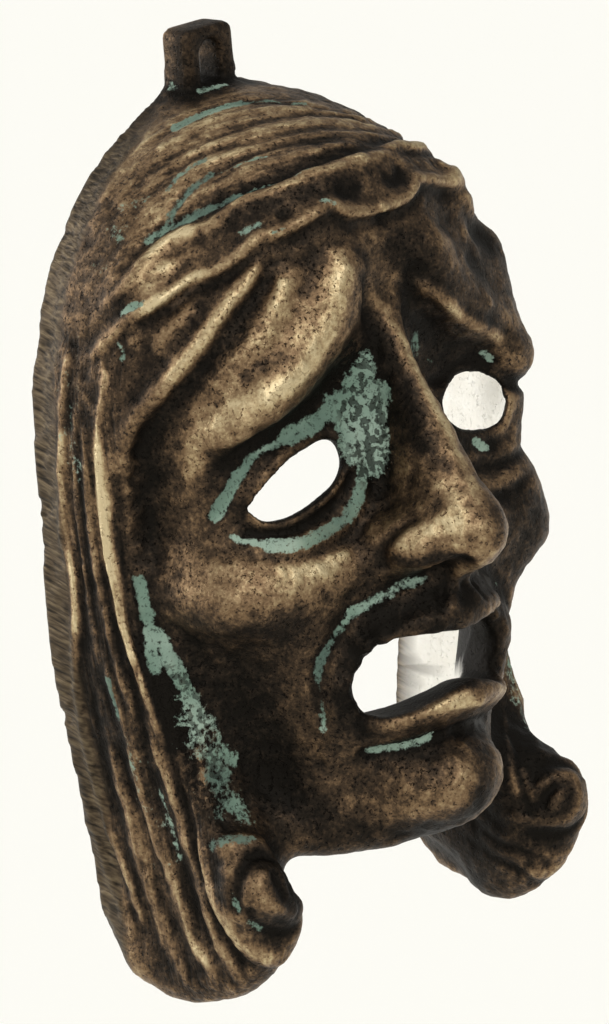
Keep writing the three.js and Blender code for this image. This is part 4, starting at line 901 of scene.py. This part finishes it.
def cast_bronze(colours):
    """Sand-cast bronze under a dark brown patina, rubbed bright on high places and green in the hollows, with
    painted highlights and painted shade.
    """
    material = bpy.data.materials.new("patinated cast bronze")
    material.use_nodes = True
    tree = material.node_tree
    tree.nodes.clear()
    place = add_node(tree, "TexCoord").outputs["Object"]
    layers = {}
    for name in ("high_places_and_painted_light", "verdigris", "ground_edge", "inside", "pitted", "side_hair", "crown_hair"):
        layers[name] = add_node(tree, "Attribute", {"attribute_name": name}).outputs["Fac"]
    green, ground, inside = layers["verdigris"], layers["ground_edge"], layers["inside"]

    # Sand of the mould, its clumps and the cloudy growth of the patina, so that no place looks smooth
    patterns = {}
    for name, (size, detail, roughness) in PATTERNS.items():
        settings = {"Scale": per_metre(size), "Detail": detail, "Roughness": roughness}
        patterns[name] = add_node(tree, "TexNoise", settings, {"Vector": place}).outputs["Fac"]
    for name, (size, turn, stretch) in STREAKS.items():
        settings = {"vector_type": "TEXTURE", "Rotation": turn, "Scale": stretch}
        drawn = add_node(tree, "Mapping", settings, {"Vector": place}).outputs[0]
        settings = {"Scale": per_metre(size), "Detail": 2}
        patterns[name] = add_node(tree, "TexNoise", settings, {"Vector": drawn}).outputs["Fac"]
    marks = patterns["file_marks"]

    # Pits, with the gaps between the crumbs where the patina is eaten away
    pits = add_node(tree, "MapRange", PIT_EDGE, {"Value": patterns["pits"]}).outputs[0]
    gaps = add_node(tree, "MapRange", GAP_EDGE, {"Value": patterns["gaps"]}).outputs[0]
    settings = {"operation": "MULTIPLY_ADD", "use_clamp": True}
    pits = add_node(tree, "Math", settings, {0: gaps, 1: layers["pitted"], 2: pits}).outputs[0]
    patterns["pits"] = pits

    # Fine hairs, each only where its hair grows
    hairs = []
    for name in ("side_hair", "crown_hair"):
        drawn = add_node(tree, "Math", {"operation": "SUBTRACT", 1: 0.5}, {0: patterns[name]}).outputs[0]
        links = {0: layers[name], 1: drawn}
        hairs.append(add_node(tree, "Math", {"operation": "MULTIPLY"}, links).outputs[0])
    patterns["hairs"] = add_node(tree, "Math", {"operation": "ADD"}, dict(enumerate(hairs))).outputs[0]

    # How far the patina is rubbed through, with the painted highlights and painted shade in it: 0 is the
    # darkest hollow and 1 a bright ridge
    settings = {"operation": "ADD", 1: RUBBING_START}
    rubbed = add_node(tree, "Math", settings, {0: layers["high_places_and_painted_light"]}).outputs[0]
    rubbed = add_patterns(tree, rubbed, patterns, RUBBING)
    settings = {"operation": "MULTIPLY_ADD", 1: 0.4, 2: 0.29}
    edge = add_node(tree, "Math", settings, {0: marks}).outputs[0]
    rubbed = add_node(tree, "Mix", {"data_type": "FLOAT"}, {0: ground, 2: rubbed, 3: edge}).outputs[0]
    brightness = add_node(tree, "MapRange", {"From Max": 1.25}, {"Value": rubbed}).outputs[0]
    metal = add_node(tree, "ValToRGB", {}, {"Fac": brightness}, [
        (0.0, colours.hollows), (0.2, colour("#2A231C")), (0.385, colours.brown), (0.56, colour("#776047")),
        (0.69, colour("#907A5C")), (0.8, colour("#AC9773")), (1.0, colours.ridges)]).outputs["Color"]

    # Metal of the rim, filed flat, so that the strokes of the file show light and dark
    filed = add_node(tree, "ValToRGB", {}, {"Fac": marks}, [
        (0.3, colour("#231E17")), (0.5, colours.filed), (0.7, colour("#665945"))]).outputs["Color"]
    metal = add_node(tree, "Mix", {"data_type": "RGBA"}, {0: ground, 6: metal, 7: filed}).outputs[2]

    # Verdigris: pale matt salts that grow in patches with crumbly edges and leave pits bare
    spread = add_node(tree, "Math", {"operation": "ADD", 1: SPREADING_START}, {0: green}).outputs[0]
    spread = add_patterns(tree, spread, patterns, SPREADING)
    spread = add_node(tree, "MapRange", GREEN_EDGE, {"Value": spread}).outputs[0]
    spread = add_patterns(tree, spread, patterns, {"pits": -0.9})
    settings = {"operation": "MULTIPLY", "use_clamp": True, 1: 0.9}
    thick = add_node(tree, "Math", settings, {0: spread}).outputs[0]
    salts = add_node(tree, "ValToRGB", {}, {"Fac": patterns["clouds"]}, [
        (0.35, colour("#4A5F54")), (0.5, colours.verdigris), (0.65, colour("#94A999"))]).outputs["Color"]
    base = add_node(tree, "Mix", {"data_type": "RGBA"}, {0: thick, 6: metal, 7: salts}).outputs[2]

    # Pale core wash, a chalky coat that the mould's core leaves on the walls of the hollow
    settings = {"data_type": "RGBA", 6: colour("#F1EDE3"), 7: colours.wash}
    wash = add_node(tree, "Mix", settings, {0: patterns["clumps"]}).outputs[2]
    base = add_node(tree, "Mix", {"data_type": "RGBA"}, {0: inside, 6: base, 7: wash}).outputs[2]

    # Metal shines, more so where it is rubbed. The salts and the wash are matt and no metal
    coat = add_node(tree, "Math", {"operation": "MAXIMUM"}, {0: thick, 1: inside}).outputs[0]
    metallic = add_node(tree, "MapRange", {"To Min": 0.92, "To Max": 0.0}, {"Value": coat}).outputs[0]
    gloss = add_node(tree, "MapRange", {"To Min": 0.6, "To Max": 0.42}, {"Value": rubbed}).outputs[0]
    gloss = add_node(tree, "Mix", {"data_type": "FLOAT", 3: 0.9}, {0: coat, 2: gloss}).outputs[0]

    settings = {"operation": "MULTIPLY", 1: SAND_HEIGHT}
    relief = add_node(tree, "Math", settings, {0: patterns["sand"]}).outputs[0]
    relief = add_patterns(tree, relief, patterns, HEIGHTS)
    stroke = add_node(tree, "Math", {"operation": "MULTIPLY", 1: FILED_HEIGHT}, {0: marks}).outputs[0]
    relief = add_node(tree, "Mix", {"data_type": "FLOAT"}, {0: ground, 2: relief, 3: stroke}).outputs[0]
    normal = add_node(tree, "Bump", {"Strength": 1.0, "Distance": MM}, {"Height": relief}).outputs[0]
    links = {"Base Color": base, "Metallic": metallic, "Roughness": gloss, "Normal": normal}
    shader = add_node(tree, "BsdfPrincipled", {}, links).outputs["BSDF"]
    add_node(tree, "OutputMaterial", {}, {"Surface": shader})
    return material


def matt_paper(shade):
    """Matt white paper, which only holds the light."""
    material = bpy.data.materials.new("matt white paper")
    material.use_nodes = True
    shader = material.node_tree.nodes["Principled BSDF"]
    shader.inputs["Base Color"].default_value = shade
    shader.inputs["Roughness"].default_value = 0.9
    return material


# Pieces


def tint(name, description, code):
    """A colour that a user can change."""
    return FloatVectorProperty(name=name, description=description, subtype="COLOR", size=4, min=0, max=1,
                               default=colour(code))


def length(name, description, default, least, most=10):
    """A length in metres that a user can change."""
    return FloatProperty(name=name, description=description, subtype="DISTANCE", default=default, min=least,
                         max=most, precision=5)


class MaskSizes(bpy.types.PropertyGroup):
    """Sizes of the modelling."""

    cell: length("Cell", "Grain of the clay grid", 0.42 * MM, 0.3 * MM, 2 * MM)
    softening: length("Softening", "Reach that smooths the plain solid's facets", 1.3 * MM, 0.3 * MM)
    wall: length("Wall", "Thickness of the casting", 3.2 * MM, 2 * MM, 4 * MM)
    hollow_floor: length("Hollow floor", "Height of the lower end of the hollow", -97.3 * MM, -1)
    triangles: IntProperty(name="Triangles", description="Triangles of the finished mesh", default=196000,
                           min=20000, max=199000)


class PatinaColours(bpy.types.PropertyGroup):
    """Colours of the patina."""

    hollows: tint("Hollows", "Patina where nothing has rubbed it", "#171410")
    brown: tint("Brown", "Patina half rubbed through", "#493B2D")
    ridges: tint("Ridges", "Bronze on the brightest ridges", "#CBB993")
    verdigris: tint("Verdigris", "Salts in the hollows", "#6C8575")
    filed: tint("Filed rim", "Metal of the rim that was filed flat", "#4A3F31")
    wash: tint("Core wash", "Chalky coat inside the hollow", "#FFFEFA")


def fill_from_behind(clay, hollow_floor):
    """Fills the hollow, so that the clay can be modelled as a solid."""
    for middle, radii in FILLINGS:
        clay.depth = np.maximum(clay.depth, ellipsoid(clay, middle, radii))
    above = clay.axes[2] > hollow_floor - 1
    clay.depth[:, :, above] = np.maximum.accumulate(clay.depth[:, :, above], axis=1)
    last = int(np.searchsorted(clay.axes[1], RIM_SECTION))
    clay.depth[:, last:, :] = clay.depth[:, last:last + 1, :]
    clay.true()


def carve(clay):
    """Works the features of the face and the hair into the clay."""
    for name, path, width, height, ends in FACE_STROKES:
        press(clay, path, width, height, ends)
        press(clay, mirror(path), width, height * LOW_ON_THE_LEFT.get(name, 1), ends)
    press_alike(clay, CROWN_FURROWS, CROWN_FURROW)
    for back, front in zip(CROWN_FURROWS[:-1], CROWN_FURROWS[1:]):
        press_alike(clay, [between(back, front, STRAND_SHARE)], CROWN_STRAND)
        press_alike(clay, [between(back, front, share) for share in HAIR_SHARES], CROWN_HAIR)
    for path, *stroke in SIDE_STRANDS + SIDE_FURROWS:
        for each in (path, mirror(path)):
            press(clay, each, *stroke)
    for first, second in NEIGHBOURS:
        for share in SIDE_HAIR_SHARES:
            groove = between(SIDE_STRANDS[first][0], SIDE_STRANDS[second][0], share)
            press_alike(clay, (groove, mirror(groove)), SIDE_HAIR)
    for stroke in CURL_STROKES:
        press(clay, *stroke)
    press_alike(clay, [ring_round(outline, EYE_RIM_GAP) for outline in (RIGHT_EYE, LEFT_EYE)], EYE_RIM)


def roughen(clay):
    """Gives the clay the grain of the moulding sand."""
    chance = np.random.default_rng(GRAIN_SEED)
    grain = clay.blurred(GRAIN_SIZE, chance.standard_normal(clay.depth.shape).astype(np.float32))
    clay.depth += GRAIN_HEIGHT / grain.std() * grain


def pierce(clay, outline, flare):
    """Cuts an opening right through, wider by its flare, with rounded edges."""
    clay.depth = smooth_min(clay.depth, outside_outline(clay, outline) - flare, EDGE)


def model_mask(sizes):
    """The plain solid smoothed, filled from behind, modelled, hollowed out again and pierced."""
    wall = sizes.wall / MM
    hollow_floor = sizes.hollow_floor / MM
    clay = Clay(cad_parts["theatre_mask"], sizes.cell / MM)
    crisp = clay.blurred(LUG_SOFTENING)
    fill_from_behind(clay, hollow_floor)
    clay.depth = clay.blurred(sizes.softening / MM)
    for path, width, height in FULLNESS:
        press(clay, path, width, height, (0, 0))
    plain = clay.depth.copy()
    carve(clay)
    roughen(clay)
    solid = clay.depth.copy()

    y = clay.axes[1][None, :, None]
    z = clay.axes[2][None, None, :]
    hollow = np.minimum(plain - wall, z - hollow_floor)
    clay.depth = np.minimum(clay.depth, -hollow)
    for outline in (RIGHT_EYE, LEFT_EYE):
        pierce(clay, outline, EYE_FLARE * (plain - EYE_LIP).clip(0, EYE_FLARE_DEPTH))
    mouth = MOUTH_HOLE + [(-right, down) for right, down in MOUTH_HOLE[-2:0:-1]]
    pierce(clay, mouth, MOUTH_FLARE * plain.clip(0, MOUTH_FLARE_DEPTH))
    lug = ((z - LUG_FOOT) / LUG_BLEND).clip(0, 1)
    clay.depth = lug * smooth_min(crisp + LUG_SWELLING, LUG_TOP - z, LUG_EDGE) + (1 - lug) * clay.depth
    clay.depth = np.minimum(clay.depth, -y).astype(np.float32)
    return clay, solid, plain


def mesh_from(clay, name):
    """The clay's surface as a mesh of triangles, in metres."""
    places, triangles, quads = clay.surface()
    mesh = bpy.data.meshes.new(name)
    faces = np.concatenate([triangles, quads[:, [0, 1, 2]], quads[:, [0, 2, 3]]])
    mesh.from_pydata((places * MM).tolist(), [], faces.tolist())
    mesh.validate()
    return mesh


def thin_out(context, piece, triangles):
    """Collapses the mesh to a number of triangles."""
    thinner = piece.modifiers.new("thinner", "DECIMATE")
    thinner.ratio = triangles / len(piece.data.polygons)
    context.view_layer.objects.active = piece
    bpy.ops.object.modifier_apply(modifier="thinner")


class MASK_OT_casting(bpy.types.Operator):
    """Models the casting and gives it its patina"""

    bl_idname = "mask.casting"
    bl_label = "Cast mask"

    def execute(self, context):
        bpy.ops.object.select_all(action="DESELECT")
        sizes = context.scene.mask_sizes
        clay, solid, plain = model_mask(sizes)
        mesh = mesh_from(clay, "bronze_mask")
        piece = bpy.data.objects.new("bronze_mask", mesh)
        context.collection.objects.link(piece)
        thin_out(context, piece, sizes.triangles)
        lay_patina(mesh, clay, solid, plain)
        piece.data.materials.append(cast_bronze(context.scene.patina_colours))
        context.view_layer.objects.active = piece
        piece.select_set(True)
        bpy.ops.object.shade_smooth()
        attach(piece, "root")
        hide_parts("theatre_mask")
        return {"FINISHED"}


# Stage: the camera looks at the mask from its right and a little from above
CAMERA_RIGHT = (0.6905, -0.7183, -0.0849)
CAMERA_UP = (0.2201, 0.0969, 0.9707)
# From the hanging eye to the middle of the picture, in mm along the camera's right and up
PICTURE_MIDDLE = (15.46, -59.74)
PICTURE_HEIGHT_MM = 1024 / 7.6
SENSOR = 36
# Sky and two fixed lights, next to the two that the stage's sizes set
SKY = 0.5
FILL = 0.4
TOP = 0.48
FLOOR_SIZE = 12
FLOOR_HEIGHT = -0.5


class StageSizes(bpy.types.PropertyGroup):
    """Camera, floor and lights."""

    distance: length("Camera distance", "From the camera to the mask", 2.0, 0.5)
    key: FloatProperty(name="Key light", description="Soft light from the front", default=1.1, min=0)
    back: FloatProperty(name="Back light", description="Soft light behind the mask", default=2.2, min=0)
    paper: tint("Paper", "Colour of the floor and the walls of the studio", "#FBFAF5")


def add_camera(scene, distance):
    """The camera of the picture."""
    right = Vector(CAMERA_RIGHT).normalized()
    up = Vector(CAMERA_UP)
    up = (up - right * up.dot(right)).normalized()
    back = right.cross(up)
    target = (PICTURE_MIDDLE[0] * right + PICTURE_MIDDLE[1] * up) * MM
    camera = bpy.data.cameras.new("camera")
    camera.sensor_width = SENSOR
    camera.lens = SENSOR * distance / (PICTURE_HEIGHT_MM * MM)
    camera.clip_end = 50
    eye = bpy.data.objects.new("camera", camera)
    turn = Matrix((right, up, back)).transposed().to_4x4()
    eye.matrix_world = Matrix.Translation(target + back * distance) @ turn
    scene.collection.objects.link(eye)
    scene.camera = eye


def add_light(scene, name, direction, softness, strength):
    """A sun from a direction, whose shadows are as soft as its angle in degrees is wide."""
    light = bpy.data.lights.new(name, "SUN")
    light.angle = math.radians(softness)
    light.energy = strength
    lamp = bpy.data.objects.new(name, light)
    lamp.rotation_euler = Vector(direction).to_track_quat("Z", "Y").to_euler()
    scene.collection.objects.link(lamp)


class MASK_OT_stage(bpy.types.Operator):
    """Sets the floor, the soft studio lights and the camera"""

    bl_idname = "mask.stage"
    bl_label = "Studio stage"

    def execute(self, context):
        scene = context.scene
        sizes = scene.mask_stage
        bpy.ops.object.select_all(action="DESELECT")
        bpy.ops.mesh.primitive_plane_add(size=FLOOR_SIZE, location=(0, 0, FLOOR_HEIGHT))
        floor = context.object
        floor.name = "floor"
        bpy.ops.object.transform_apply(location=True)
        floor.data.materials.append(matt_paper(sizes.paper))
        add_camera(scene, sizes.distance)
        world = bpy.data.worlds.new("studio")
        scene.world = world
        world.use_nodes = True
        world.node_tree.nodes["Background"].inputs["Color"].default_value = sizes.paper
        world.node_tree.nodes["Background"].inputs["Strength"].default_value = SKY
        add_light(scene, "key", (-0.35, -1.0, 0.75), 45, sizes.key)
        add_light(scene, "fill", (-1.0, -0.6, 0.4), 70, FILL)
        add_light(scene, "top", (0, 0, 1), 90, TOP)
        add_light(scene, "back", (-0.6, 1.0, 0.2), 60, sizes.back)
        scene.view_settings.view_transform = "Standard"
        return {"FINISHED"}


class MASK_PT_panel(bpy.types.Panel):
    """Lists the pieces in the sidebar"""

    bl_label = "Tragedy mask"
    bl_idname = "MASK_PT_panel"
    bl_space_type = "VIEW_3D"
    bl_region_type = "UI"
    bl_category = "Mask"

    def draw(self, context):
        scene = context.scene
        for group, button in ((scene.mask_sizes, "mask.casting"), (scene.patina_colours, ""),
                              (scene.mask_stage, "mask.stage")):
            box = self.layout.box()
            for name in group.bl_rna.properties.keys():
                if name not in ("rna_type", "name"):
                    box.prop(group, name)
            if button:
                box.operator(button)


GROUPS = {"mask_sizes": MaskSizes, "patina_colours": PatinaColours, "mask_stage": StageSizes}
CLASSES = (*GROUPS.values(), MASK_OT_casting, MASK_OT_stage, MASK_PT_panel)


def register():
    for each in CLASSES:
        bpy.utils.register_class(each)
    for name, group in GROUPS.items():
        setattr(bpy.types.Scene, name, PointerProperty(type=group))


def unregister():
    for name in GROUPS:
        delattr(bpy.types.Scene, name)
    for each in reversed(CLASSES):
        bpy.utils.unregister_class(each)


def main():
    register()
    bpy.ops.mask.casting()
    bpy.ops.mask.stage()


if __name__ == "__main__":
    main()
